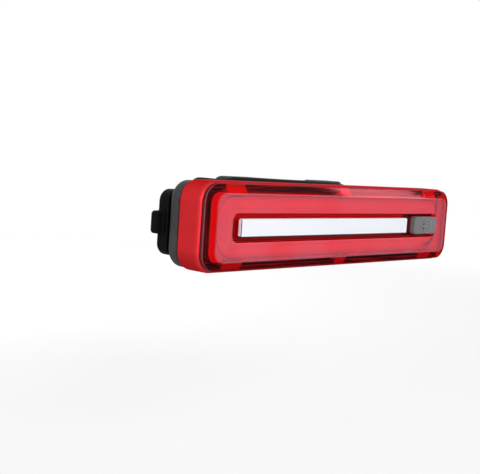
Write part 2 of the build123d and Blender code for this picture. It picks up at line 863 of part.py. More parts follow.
def strap():
    band = upright(trace(strap_path(), strap_thickness), strap_height)
    for side in (-1, 1):
        band += strap_plate(side, strap_end_front_at, strap_end_height, strap_end_corner)
    band += strap_plate(1, strap_tail_front_at, strap_tail_height, strap_tail_corner)
    slots = [(-1, hook_at()), (1, hook_at()), (1, hook_at() + strap_slot_pitch)]
    for side, level in slots:
        low, high = level - strap_slot_width / 2, level + strap_slot_width / 2
        band -= block(strap_thickness + overrun, strap_slot_height, low, high, side * strap_mid_x)
    return band


sub_parts = [
    front_lens, diffuser_panel, light_blocks, inner_frame, strip_cover, cob_board, cob_phosphor,
    cob_leads, button_cap, button_seal, switch_body, switch_plunger, mid_body, body_gasket,
    back_cover, cover_screws, main_board, battery_cell, battery_tape, battery_foam, battery_board,
    battery_wires, usb_shell, usb_tongue, charge_chip, driver_chip, inductor, capacitors, status_led,
    port_flap, flap_anchor, slide_plate, swivel_washer, swivel_rivet, saddle, saddle_pad, strap,
]

os.makedirs("parts", exist_ok=True)
for build in sub_parts:
    export_step(build(), f"parts/{build.__name__}.step")
    print(build.__name__)
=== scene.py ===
"""Bike rear light with its strap mount: finishes, fine parts, camera and light.

Blender objects are in metres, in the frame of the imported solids: +Z up along the clamp's axis,
+X along the light towards its button, and the lens faces -Y. Sizes in the classes are
millimetres. A value named *_at is a place along Y, and one named *_x is a place along X.
"""
from __future__ import annotations

import logging
import math
from dataclasses import dataclass
from enum import Enum
from typing import Callable, Sequence

import bpy
from mathutils import Matrix, Vector


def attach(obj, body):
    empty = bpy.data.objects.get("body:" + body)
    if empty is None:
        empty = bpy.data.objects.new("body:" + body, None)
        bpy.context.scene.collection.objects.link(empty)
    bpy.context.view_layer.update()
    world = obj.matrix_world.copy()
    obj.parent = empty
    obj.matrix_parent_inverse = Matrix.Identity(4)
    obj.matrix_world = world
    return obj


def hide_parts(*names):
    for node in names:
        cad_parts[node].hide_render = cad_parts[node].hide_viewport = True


log = logging.getLogger("rear_light")
MM = 0.001
BEYOND_M = 10.0  # Further than any piece reaches.
FACING = 0.9  # A normal with this share along an axis faces that way.
LEVEL_MM = 1.0  # An edge that runs back further than this isn't level.
Pair = tuple[float, float]
Triple = tuple[float, float, float]
Socket = bpy.types.NodeSocket

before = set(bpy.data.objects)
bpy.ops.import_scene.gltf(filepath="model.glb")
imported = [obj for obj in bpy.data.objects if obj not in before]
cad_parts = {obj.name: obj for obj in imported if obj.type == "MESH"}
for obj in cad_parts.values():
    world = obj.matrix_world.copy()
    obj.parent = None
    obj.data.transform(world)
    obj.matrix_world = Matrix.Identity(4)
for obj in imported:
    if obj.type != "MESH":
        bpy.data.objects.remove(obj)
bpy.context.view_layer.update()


def linear(colour: Triple) -> tuple[float, ...]:
    """Turns a display colour into the linear one that shaders take, with an alpha of 1."""
    return tuple(c / 12.92 if c <= 0.04045 else ((c + 0.055) / 1.055) ** 2.4 for c in colour) + (1.0,)


def towards(azimuth_deg: float, elevation_deg: float) -> Vector:
    """Gives the direction in which a viewer stands.

    Args:
        azimuth_deg: 0 in front of the lens, growing towards the button.
        elevation_deg: Height above the horizon.

    Returns:
        The direction, of length 1.
    """
    azimuth, elevation = math.radians(azimuth_deg), math.radians(elevation_deg)
    return Vector((math.sin(azimuth) * math.cos(elevation),
                   -math.cos(azimuth) * math.cos(elevation), math.sin(elevation)))


def runs_back(first: Vector, last: Vector) -> bool:
    """Tells whether an edge, given by its ends in millimetres, runs from front to back."""
    return abs(first.y - last.y) > LEVEL_MM


# Materials


class NodeSheet:
    """A node tree, with short ways to add and join its nodes."""

    def __init__(self, owner: bpy.types.Material | bpy.types.World) -> None:
        """Clears a tree, but for its output and its coordinates.

        Args:
            owner: The material or world that holds the tree.
        """
        owner.use_nodes = True
        self.owner, self.tree = owner, owner.node_tree
        self.tree.nodes.clear()
        of_world = isinstance(owner, bpy.types.World)
        self.output = self.add("OutputWorld" if of_world else "OutputMaterial")
        self.coords = self.add("TexCoord").outputs["Generated" if of_world else "Object"]

    def fill(self, socket: Socket, value: object) -> None:
        """Links a socket's value, or sets it. A colour of three numbers is a display colour.

        Args:
            socket: The socket to fill.
            value: Another socket, a number, a vector or a colour.
        """
        if isinstance(value, Socket):
            self.tree.links.new(value, socket)
        elif socket.type == "RGBA" and len(value) == 3:
            socket.default_value = linear(value)
        else:
            socket.default_value = value

    def add(self, kind: str, inputs: dict | None = None, **settings: object) -> bpy.types.Node:
        """Adds a node, sets its options and fills its sockets.

        Args:
            kind: The node's type, without its "ShaderNode" prefix.
            inputs: Socket name or number to what fills it.
            settings: Options of the node itself.

        Returns:
            The new node.
        """
        node = self.tree.nodes.new("ShaderNode" + kind)
        for option, value in settings.items():
            setattr(node, option, value)
        for socket, value in (inputs or {}).items():
            self.fill(node.inputs[socket], value)
        return node

    def math(self, operation: str, *values: Socket | float) -> Socket:
        """Adds a Math node on sockets or numbers."""
        return self.add("Math", dict(enumerate(values)), operation=operation).outputs[0]

    def vector(self, operation: str, *values: Socket | Triple) -> Socket:
        """Adds a Vector Math node on sockets or vectors."""
        return self.add("VectorMath", dict(enumerate(values)), operation=operation).outputs[0]

    def length(self, vector: Socket) -> Socket:
        """Measures a vector."""
        return self.add("VectorMath", {0: vector}, operation="LENGTH").outputs["Value"]

    def noise(self, size_mm: float, detail: float = 2.0, stretch: Triple = (1, 1, 1)) -> Socket:
        """Adds a noise pattern on the piece's own coordinates.

        Args:
            size_mm: Size of one blotch.
            detail: How many finer octaves it holds.
            stretch: How dense the pattern is along X, Y and Z.

        Returns:
            The noise's value.
        """
        where = self.add("Mapping", {"Vector": self.coords, "Scale": stretch}).outputs[0]
        inputs = {"Vector": where, "Scale": 1 / (size_mm * MM), "Detail": detail}
        return self.add("TexNoise", inputs).outputs["Fac"]

    def remap(self, value: Socket, low: float, high: float, start: float = 0.0,
              end: float = 1.0) -> Socket:
        """Maps a value from one range to another, held at its ends.

        Args:
            value: The value to map.
            low: Result at the range's start.
            high: Result at the range's end.
            start: Where the range starts.
            end: Where the range ends.

        Returns:
            The mapped value.
        """
        inputs = {"Value": value, "From Min": start, "From Max": end, "To Min": low, "To Max": high}
        return self.add("MapRange", inputs).outputs["Result"]

    def blend(self, share: Socket | float, first: object, second: object) -> Socket:
        """Blends two colours, by how much of the second one shows."""
        return self.add("Mix", {0: share, 6: first, 7: second}, data_type="RGBA").outputs[2]

    def bump(self, height: Socket, depth_mm: float, **under: Socket) -> Socket:
        """Turns a height pattern, 0 to 1, into a shading normal, perhaps over another Normal."""
        return self.add("Bump", {"Height": height, "Distance": depth_mm * MM, **under}).outputs[0]

    def axis(self, letter: str) -> Socket:
        """Gives one coordinate of the piece, in metres."""
        return self.add("SeparateXYZ", {"Vector": self.coords}).outputs[letter]

    def fade(self, letter: str, start_mm: float, end_mm: float, low: float = 0.0,
             high: float = 1.0) -> Socket:
        """Gives a value that changes from low to high over a stretch of one axis."""
        return self.remap(self.axis(letter), low, high, start_mm * MM, end_mm * MM)

    def mark(self, test: str, letter: str, *levels_mm: float, mirrored: bool = False) -> Socket:
        """Marks where a coordinate passes a test.

        Args:
            test: GREATER_THAN, LESS_THAN or COMPARE.
            letter: The axis.
            levels_mm: The level, or for COMPARE the middle and the reach to both sides.
            mirrored: Whether the other side of the middle plane is marked too.

        Returns:
            1 where it passes and 0 elsewhere.
        """
        value = self.axis(letter)
        if mirrored:
            value = self.math("ABSOLUTE", value)
        return self.math(test, value, *(level * MM for level in levels_mm))

    def within(self, half_x_mm: float, half_z_mm: float, corner_mm: float, edge_mm: float = 0.05,
               middle_mm: Pair = (0.0, 0.0)) -> Socket:
        """Marks what lies inside a rounded rectangle, seen from the front.

        Args:
            half_x_mm: Half its length.
            half_z_mm: Half its height.
            corner_mm: Its corners' radius.
            edge_mm: Width over which the mark fades.
            middle_mm: X and Z of its middle.

        Returns:
            1 inside and 0 outside.
        """
        flat = self.vector("SUBTRACT", self.coords, (middle_mm[0] * MM, 0, middle_mm[1] * MM))
        core = ((half_x_mm - corner_mm) * MM, BEYOND_M, (half_z_mm - corner_mm) * MM)
        over = self.vector("SUBTRACT", self.vector("ABSOLUTE", flat), core)
        reach = self.length(self.vector("MAXIMUM", over, (0, 0, 0)))
        half = edge_mm / 2
        return self.remap(reach, 1.0, 0.0, (corner_mm - half) * MM, (corner_mm + half) * MM)

    def finish(self, shader: Socket) -> bpy.types.Material | bpy.types.World:
        """Joins the last shader to the output and hands the tree's owner over."""
        self.fill(self.output.inputs["Surface"], shader)
        return self.owner


@dataclass(frozen=True)
class Moulded:
    """Moulded plastic or rubber: fine spark grain, faint clouding and uneven sheen."""

    name: str
    colour: Triple
    roughness: float = 0.5
    specular: float = 0.3
    grain_mm: float = 0.25
    grain_depth_mm: float = 0.01
    cloud: float = 0.08
    dust: float = 0.0
    cloud_mm: float = 8.0
    cloud_span: Pair = (0.3, 0.7)
    dust_mm: float = 0.5
    dust_span: Pair = (0.6, 0.75)
    dust_colour: Triple = (0.5, 0.48, 0.45)
    sheen_mm: float = 2.5
    sheen: Pair = (-0.06, 0.08)
    metallic: float = 0.0
    edge_tint: Triple = (1.0, 1.0, 1.0)

    def tone(self, sheet: NodeSheet) -> Socket:
        """Gives the plastic's clouded colour.

        Args:
            sheet: The node sheet to add to.

        Returns:
            The colour.
        """
        base = linear(self.colour)[:3]
        dark, light = (tuple(min(1.0, c * share) for c in base) + (1.0,)
                       for share in (1 - self.cloud, 1 + self.cloud))
        clouds = sheet.remap(sheet.noise(self.cloud_mm, detail=4.0), 0.0, 1.0, *self.cloud_span)
        colour = sheet.blend(clouds, dark, light)
        if self.dust:
            specks = sheet.remap(sheet.noise(self.dust_mm, detail=5.0), 0.0, self.dust, *self.dust_span)
            colour = sheet.blend(specks, colour, self.dust_colour)
        return colour

    def painted(self, sheet: NodeSheet) -> Socket:
        """Gives the colour with the finish's own marks, of which the plain one has none."""
        return self.tone(sheet)

    def relief(self, sheet: NodeSheet) -> Socket:
        """Gives the grain as a shading normal."""
        return sheet.bump(sheet.noise(self.grain_mm), self.grain_depth_mm)

    def material(self) -> bpy.types.Material:
        """Builds the node material.

        Returns:
            The material.
        """
        sheet = NodeSheet(bpy.data.materials.new(self.name))
        rough = (self.roughness + change for change in self.sheen)
        shader = sheet.add("BsdfPrincipled", {
            "Base Color": self.painted(sheet), "Normal": self.relief(sheet),
            "Roughness": sheet.remap(sheet.noise(self.sheen_mm, detail=4.0), *rough, *self.cloud_span),
            "Specular IOR Level": self.specular, "Specular Tint": self.edge_tint + (1.0,),
            "Metallic": self.metallic})
        return sheet.finish(shader.outputs[0])


@dataclass(frozen=True)
class PaintedInnerShading:
    """What shows under the clear lens: dark maroon as painted shade, with long faint streaks as painted
    reflections, and bright red windows for the light blocks.

    The right end is painted bright red all over, as painted light.
    """

    # dark and mid: painted shade inside the case, mixed in streaks that stand for painted reflections.
    dark: Triple = (0.11, 0.0, 0.0)
    mid: Triple = (0.55, 0.0, 0.0)
    bright: Triple = (0.86, 0.0, 0.0)
    # low: painted shade on the lower row of blocks.
    low: Triple = (0.72, 0.0, 0.0)
    # Painted light over the right end.
    painted_light: Triple = (0.86, 0.0, 0.0)
    painted_light_mm: Pair = (51.9, 52.2)
    streak_mm: float = 0.45
    streak_span: Pair = (0.45, 0.68)
    streak_along_x: Triple = (0.03, 1.0, 1.0)
    streak_along_z: Triple = (1.0, 1.0, 0.05)
    end_from_mm: float = 52.0
    end_window_mm: Pair = (44.0, 3.4)
    middle_window_mm: Pair = (0.0, 2.3)
    window_from_z_mm: float = 9.0
    # Painted shade in the lens's slot, lighter above the strip.
    slot: Triple = (0.55, 0.02, 0.04)
    slot_upper: Triple = (0.76, 0.04, 0.06)
    slot_upper_mm: Pair = (1.5, 2.5)
    slot_half_mm: Triple = (48.0, 3.6, 1.0)
    opening_mm: Triple = (46.45, 3.7, 2.0)
    opening_middle_mm: Pair = (2.1, -0.15)

    def tone(self, sheet: NodeSheet, windows: bool) -> Socket:
        """Gives the colour: painted shade with streaks of painted reflection, painted light at the
        right end and painted shade in the slot.

        Args:
            sheet: The node sheet to add to.
            windows: Whether the light blocks' windows are left bright.

        Returns:
            The colour.
        """
        # Long streaks, along X on the sides and along Z at the ends, as painted reflections.
        sides, ends = (sheet.noise(self.streak_mm, stretch=stretch)
                       for stretch in (self.streak_along_x, self.streak_along_z))
        at_end = sheet.mark("GREATER_THAN", "X", self.end_from_mm, mirrored=True)
        streaks = sheet.add("Mix", {0: at_end, 2: sides, 3: ends}).outputs[0]
        colour = sheet.blend(sheet.remap(streaks, 0.0, 1.0, *self.streak_span), self.dark, self.mid)
        # Painted light over the right end.
        colour = sheet.blend(sheet.fade("X", *self.painted_light_mm), colour, self.painted_light)
        # Painted shade in the lens's slot.
        colour = sheet.blend(sheet.within(*self.slot_half_mm), colour, self.slot_shade(sheet))
        if not windows:
            return colour
        # Bright windows for the light blocks, with painted shade on the lower row.
        spots = sheet.math("ADD", sheet.mark("COMPARE", "X", *self.end_window_mm, mirrored=True),
                           sheet.mark("COMPARE", "X", *self.middle_window_mm))
        outer = sheet.mark("GREATER_THAN", "Z", self.window_from_z_mm, mirrored=True)
        return sheet.blend(sheet.math("MULTIPLY", spots, outer), colour, self.lit(sheet))

    def slot_shade(self, sheet: NodeSheet) -> Socket:
        """Gives the painted shade in the lens's slot, lighter above the strip."""
        return sheet.blend(sheet.fade("Z", *self.slot_upper_mm), self.slot, self.slot_upper)

    def opening(self, sheet: NodeSheet) -> Socket:
        """Marks what the camera sees through the slot's opening, just under the lens."""
        return sheet.within(*self.opening_mm, middle_mm=self.opening_middle_mm)

    def lit(self, sheet: NodeSheet) -> Socket:
        """Gives the windows' red, bright above and with painted shade below."""
        return sheet.blend(sheet.mark("GREATER_THAN", "Z", 0.0), self.low, self.bright)


@dataclass(frozen=True)
class InnerShaded(Moulded):
    """The painted inner shading all over, as on the inner frame: painted shade, painted reflections and
    painted light.
    """

    inner_shading: PaintedInnerShading = PaintedInnerShading()

    def painted(self, sheet: NodeSheet) -> Socket:
        """Gives the painted inner shading, without bright windows."""
        return self.inner_shading.tone(sheet, False)


@dataclass(frozen=True)
class BlockRed(InnerShaded):
    """Bright red of the light blocks, with painted shade on the lower row."""

    def painted(self, sheet: NodeSheet) -> Socket:
        """Gives the blocks' red, with painted shade on the lower row."""
        return self.inner_shading.lit(sheet)


@dataclass(frozen=True)
class BodyRed(InnerShaded):
    """Satin red outside, with the painted inner shading and bright windows where the lens covers it."""

    metallic: float = 0.45
    edge_tint: Triple = (0.45, 0.1, 0.1)
    # Where the lens covers the body, painted shade and windows stand for the dark inside.
    covered_mm: Triple = (55.0, 10.55, 4.5)

    def painted(self, sheet: NodeSheet) -> Socket:
        """Gives the satin red and, under the lens, the painted inner shading."""
        return sheet.blend(sheet.within(*self.covered_mm), self.tone(sheet), self.inner_shading.tone(sheet, True))


@dataclass(frozen=True)
class GuideRed(InnerShaded):
    """Milky bright red face with painted shade: darker towards its rim and its left end, a painted
    shade line at the right end, and rim walls painted dark as shade.
    """

    # Painted shade: the face darkens towards its rim and towards its left end.
    rim_shade_colour: Triple = (0.82, 0.0, 0.0)
    rim_from_mm: Triple = (50.4, 6.9, 2.6)
    rim_fade_mm: float = 1.2
    face_mm: Triple = (52.25, 8.45, 2.6)
    face_at_mm: float = -31.93
    end_dim: float = 0.75
    end_dim_mm: Pair = (-40.0, -52.0)
    # A painted shade line round the right end of the face.
    shade_line_colour: Triple = (0.58, 0.1, 0.1)
    line_mm: Triple = (49.8, 12.0, 5.7)
    line_middle_mm: Pair = (0.0, 5.0)
    line_width_mm: float = 1.5
    line_fade_mm: float = 0.4
    line_from_mm: Pair = (41.0, 45.0)

    def line(self, sheet: NodeSheet) -> Socket:
        """Marks the painted shade line that bounds the brighter face at the right and curves away below.

        Args:
            sheet: The node sheet to add to.

        Returns:
            1 on the line and 0 elsewhere.
        """
        outer, inner = (
            sheet.within(*(size - cut for size in self.line_mm), self.line_fade_mm, self.line_middle_mm)
            for cut in (0.0, self.line_width_mm))
        ring = sheet.math("SUBTRACT", outer, inner)
        return sheet.math("MULTIPLY", ring, sheet.fade("X", *self.line_from_mm))

    def painted(self, sheet: NodeSheet) -> Socket:
        """Gives the face with its painted shade, the painted shade line, the slot's walls in painted shade
        and the rim walls painted dark as shade.

        Args:
            sheet: The node sheet to add to.

        Returns:
            The colour.
        """
        front = sheet.mark("LESS_THAN", "Y", self.face_at_mm)
        # Painted shade over the left end and round the rim.
        dim = sheet.fade("X", *self.end_dim_mm, 0.0, self.end_dim)
        middle = sheet.blend(dim, self.tone(sheet), self.rim_shade_colour)
        face = sheet.blend(sheet.within(*self.rim_from_mm, self.rim_fade_mm), self.rim_shade_colour, middle)
        # Painted shade line.
        face = sheet.blend(self.line(sheet), face, self.shade_line_colour)
        # The slot's walls under the lens get the slot's painted shade.
        walls = sheet.math("MULTIPLY", self.inner_shading.opening(sheet), sheet.math("SUBTRACT", 1.0, front))
        face = sheet.blend(walls, face, self.inner_shading.slot_shade(sheet))
        # Off the front face, the rim walls get the dark inner colour as painted shade.
        lit = sheet.math("MAXIMUM", sheet.within(*self.face_mm), front)
        return sheet.blend(lit, self.inner_shading.tone(sheet, False), face)


@dataclass(frozen=True)
class StripWhite(InnerShaded):
    """Milky white bar with thin edges painted dark as shade, whose foot in the lens's slot is red, with
    the slot's painted shade where the opening shows it.
    """

    foot_colour: Triple = (0.92, 0.0, 0.0)
    foot_at_mm: float = -33.3
    # Painted shade along the lower edge and in a thin line at the left end.
    shade_edge_colour: Triple = (0.36, 0.3, 0.32)
    shaded_lower_edge_mm: Pair = (-2.08, -1.98)
    end_shade_line_mm: Pair = (-43.6, 0.13)
    end_shade_line_half_mm: float = 2.05

    def painted(self, sheet: NodeSheet) -> Socket:
        """Gives the white, the edges painted dark as shade, and the foot with the slot's painted shade.

        Args:
            sheet: The node sheet to add to.

        Returns:
            The colour.
        """
        # Painted shade lines: one at the left end and one along the lower edge.
        end_shade_line = sheet.math("MULTIPLY", sheet.mark("COMPARE", "X", *self.end_shade_line_mm),
                              sheet.mark("COMPARE", "Z", 0.0, self.end_shade_line_half_mm))
        edge = sheet.math("MAXIMUM", sheet.fade("Z", *self.shaded_lower_edge_mm, 1.0, 0.0), end_shade_line)
        face = sheet.blend(edge, self.tone(sheet), self.shade_edge_colour)
        # The foot takes the slot's painted shade where the opening shows it.
        under = sheet.blend(self.inner_shading.opening(sheet), self.foot_colour, self.inner_shading.slot_shade(sheet))
        return sheet.blend(sheet.mark("GREATER_THAN", "Y", self.foot_at_mm), face, under)


@dataclass(frozen=True)
class StrapRubber(Moulded):
    """Black rubber whose band has fine lengthwise ribs between two plain rims."""

    rib_pitch_mm: float = 1.5
    ribbed_half_mm: float = 5.25
    ribbed_from_mm: float = -1.0
    rib_depth_mm: float = 0.16
    rib_colour: Triple = (0.16, 0.16, 0.16)
    rib_share: float = 0.35

    def ribs(self, sheet: NodeSheet) -> Socket:
        """Gives the ribs' height.

        Args:
            sheet: The node sheet to add to.

        Returns:
            The height, 0 to 1.
        """
        across = sheet.math("MULTIPLY", sheet.axis("Z"), 2 * math.pi / (self.rib_pitch_mm * MM))
        wave = sheet.math("MULTIPLY_ADD", sheet.math("COSINE", across), 0.5, 0.5)
        band = sheet.math("MULTIPLY", sheet.mark("COMPARE", "Z", 0.0, self.ribbed_half_mm),
                          sheet.mark("GREATER_THAN", "Y", self.ribbed_from_mm))
        return sheet.math("MULTIPLY", wave, band)

    def painted(self, sheet: NodeSheet) -> Socket:
        """Gives the rubber's colour, paler on the ribs."""
        share = sheet.math("MULTIPLY", self.ribs(sheet), self.rib_share)
        return sheet.blend(share, self.tone(sheet), self.rib_colour)

    def relief(self, sheet: NodeSheet) -> Socket:
        """Lays the ribs over the grain."""
        return sheet.bump(self.ribs(sheet), self.rib_depth_mm, Normal=super().relief(sheet))


@dataclass(frozen=True)
class PowerSymbol:
    """Open ring and bar on the button."""

    x: float = 40.4
    z: float = -0.15
    radius: float = 1.98
    line: float = 0.21
    proud: float = 0.155
    gap_deg: float = 56.0
    bar_out: float = 2.85
    bar_in: float = 0.1


@dataclass(frozen=True)
class ButtonRubber(Moulded):
    """Grey rubber: painted shade in the corner round the symbol, a painted highlight on the raised
    symbol, and painted shade tinted red at its foot.
    """

    symbol: PowerSymbol = PowerSymbol()
    near_mm: Pair = (0.2, 0.42)
    bar_mm: Pair = (-1.45, 1.5)
    front_at_mm: float = -34.3
    raised_mm: Pair = (-34.58, -34.52)
    # Painted shade, tinted red, on the button's foot inside the slot.
    foot_colour: Triple = (0.4, 0.08, 0.09)
    foot_mm: Pair = (-32.9, -32.5)
    # Painted shade round the symbol's lines, on the front.
    corner_shade_colour: Triple = (0.22, 0.215, 0.22)
    corner_shade_share: float = 0.9
    # Painted highlight on the raised symbol.
    symbol_highlight_colour: Triple = (0.6, 0.595, 0.6)

    def off_symbol(self, sheet: NodeSheet) -> Socket:
        """Gives the distance from the symbol's lines, seen from the front.

        Args:
            sheet: The node sheet to add to.

        Returns:
            The distance in metres.
        """
        flat = sheet.vector("SUBTRACT", sheet.coords, (self.symbol.x * MM, 0, self.symbol.z * MM))
        flat = sheet.vector("MULTIPLY", flat, (1, 0, 1))
        off_ring = sheet.math("SUBTRACT", sheet.length(flat), self.symbol.radius * MM)
        along, _, across = sheet.add("SeparateXYZ", {"Vector": flat}).outputs
        on_bar = sheet.math("COMPARE", along, *(place * MM for place in self.bar_mm))
        off_bar = sheet.math("ADD", sheet.math("ABSOLUTE", across), sheet.math("SUBTRACT", 1.0, on_bar))
        return sheet.math("MINIMUM", sheet.math("ABSOLUTE", off_ring), off_bar)

    def painted(self, sheet: NodeSheet) -> Socket:
        """Gives the grey with painted shade round the symbol, a painted highlight on its raised lines and
        painted shade, tinted red, at its foot.

        Args:
            sheet: The node sheet to add to.

        Returns:
            The colour.
        """
        # Painted shade near the symbol's lines.
        near = sheet.remap(self.off_symbol(sheet), self.corner_shade_share, 0.0, *(mm * MM for mm in self.near_mm))
        near = sheet.math("MULTIPLY", sheet.mark("LESS_THAN", "Y", self.front_at_mm), near)
        colour = sheet.blend(near, self.tone(sheet), self.corner_shade_colour)
        # Painted shade, tinted red, towards the foot.
        colour = sheet.blend(sheet.fade("Y", *self.foot_mm), colour, self.foot_colour)
        # Painted highlight where the symbol stands proud.
        return sheet.blend(sheet.fade("Y", *self.raised_mm, 1.0, 0.0), colour, self.symbol_highlight_colour)


@dataclass(frozen=True)
class ClearRed:
    """Clear red lens plastic, glossy, with a thin satin haze on its flat front and pale lines on its edge
    roundings as painted highlights.
    """

    name: str
    tint: Triple = (1.0, 0.13, 0.15)
    haze_and_highlight_colour: Triple = (0.88, 0.88, 1.0)
    levels_mm: Pair = (-31.5, -34.1)
    # The peaks near -32.6 and -33.93 are painted highlights on the edge roundings; -33.99 is the front's
    # haze.
    haze_and_highlight_at: tuple[Pair, ...] = (
        (-31.6, 0.0), (-32.5, 0.0), (-32.57, 0.16), (-32.61, 0.16), (-32.68, 0.0),
        (-33.86, 0.0), (-33.91, 0.2), (-33.96, 0.2), (-33.99, 0.095))
    patch_mm: float = 14.0
    patch_span: Pair = (0.3, 0.7)
    patch_share: Pair = (0.8, 1.2)
    # Painted reflections on the lens's side wall: grey-brown on the sides, pink at the right end.
    wall_reflection_colour: Triple = (0.42, 0.17, 0.18)
    end_wall_reflection_colour: Triple = (0.88, 0.3, 0.33)
    end_rim_colour: Triple = (0.3, 0.1, 0.12)
    end_rim_mm: Pair = (-31.95, -31.75)
    wall_share: float = 0.85
    wall_mm: Triple = (54.9, 10.45, 4.4)
    wall_to_mm: float = -32.5
    end_from_mm: float = 49.5
    front_rim_mm: Pair = (-33.93, 0.06)
    front_rim_share: float = 0.25
    gloss_ior: float = 1.49
    gloss_share: float = 0.5
    gloss_most: float = 0.03
    gloss_colour: Triple = (1.0, 0.22, 0.27)
    gloss_roughness: float = 0.05

    def haze_and_highlights(self, sheet: NodeSheet) -> Socket:
        """Gives how satin the lens is: its flat front, and its rims' roundings as painted highlights,
        less at the ends' rims.

        Args:
            sheet: The node sheet to add to.

        Returns:
            The share of satin surface.
        """
        start, end = self.levels_mm
        ramp = sheet.add("ValToRGB", {0: sheet.fade("Y", start, end)})
        stops = ramp.color_ramp.elements
        for number, (level, haze) in enumerate(self.haze_and_highlight_at):
            where = (level - start) / (end - start)
            stop = stops.new(where) if number else stops[0]
            stop.position, stop.color = where, (haze, haze, haze, 1.0)
        stops.remove(stops[-1])
        rim = sheet.math("MULTIPLY", sheet.mark("GREATER_THAN", "X", self.end_from_mm, mirrored=True),
                         sheet.mark("COMPARE", "Y", *self.front_rim_mm))
        haze = sheet.math("MULTIPLY", ramp.outputs[0], sheet.remap(rim, 1.0, self.front_rim_share))
        patches = sheet.remap(sheet.noise(self.patch_mm, detail=3.0), *self.patch_share, *self.patch_span)
        return sheet.math("MULTIPLY", haze, patches)

    def walled(self, sheet: NodeSheet) -> tuple[Socket, Socket]:
        """Gives the lens's side wall, where it stops being clear and takes painted reflections: grey-brown,
        and pink at the right end, darker towards its back there.

        Args:
            sheet: The node sheet to add to.

        Returns:
            The wall's mark and its colour.
        """
        wall = sheet.math("MULTIPLY", sheet.math("SUBTRACT", 1.0, sheet.within(*self.wall_mm)),
                          sheet.mark("GREATER_THAN", "Y", self.wall_to_mm))
        end = sheet.blend(sheet.fade("Y", *self.end_rim_mm), self.end_rim_colour, self.end_wall_reflection_colour)
        at_right = sheet.mark("GREATER_THAN", "X", self.end_from_mm)
        return wall, sheet.blend(at_right, self.wall_reflection_colour, end)

    def material(self) -> bpy.types.Material:
        """Builds the node material.

        Returns:
            A mix of clear, satin with its painted highlights and reflections, and a thin gloss on the
            outside.
        """
        sheet = NodeSheet(bpy.data.materials.new(self.name))
        clear = sheet.add("BsdfTransparent", {"Color": self.tint + (1.0,)}).outputs[0]
        wall, wall_reflection_colour = self.walled(sheet)
        share = sheet.math("MAXIMUM", self.haze_and_highlights(sheet), sheet.math("MULTIPLY", wall, self.wall_share))
        colour = sheet.blend(wall, self.haze_and_highlight_colour, wall_reflection_colour)
        satin = sheet.add("BsdfDiffuse", {"Color": colour}).outputs[0]
        body = sheet.add("MixShader", {0: share, 1: clear, 2: satin}).outputs[0]
        gloss = sheet.add("BsdfGlossy", {"Color": self.gloss_colour + (1.0,),
                                         "Roughness": self.gloss_roughness}).outputs[0]
        mirror = sheet.add("Fresnel", {"IOR": self.gloss_ior}).outputs[0]
        mirror = sheet.math("MINIMUM", sheet.math("MULTIPLY", mirror, self.gloss_share), self.gloss_most)
        outside = sheet.math("SUBTRACT", 1.0, sheet.add("NewGeometry").outputs["Backfacing"])
        shine = sheet.math("MULTIPLY", mirror, outside)
        return sheet.finish(sheet.add("MixShader", {0: shine, 1: body, 2: gloss}).outputs[0])


@dataclass(frozen=True)
class Metal:
    """Plain metal with fine turned or rolled lines."""

    name: str
    colour: Triple
    roughness: float = 0.3
    sheen: Pair = (-0.06, 0.1)
    line_mm: float = 0.12
    line_depth_mm: float = 0.003
    line_shade: float = 0.82

    def material(self) -> bpy.types.Material:
        """Builds the node material.

        Returns:
            The material.
        """
        sheet = NodeSheet(bpy.data.materials.new(self.name))
        base = linear(self.colour)
        dark = tuple(c * self.line_shade for c in base[:3]) + (1.0,)
        lines = sheet.noise(self.line_mm)
        shader = sheet.add("BsdfPrincipled", {
            "Base Color": sheet.blend(lines, dark, base), "Metallic": 1.0,
            "Roughness": sheet.remap(lines, *(self.roughness + change for change in self.sheen)),
            "Normal": sheet.bump(lines, self.line_depth_mm)})
        return sheet.finish(shader.outputs[0])


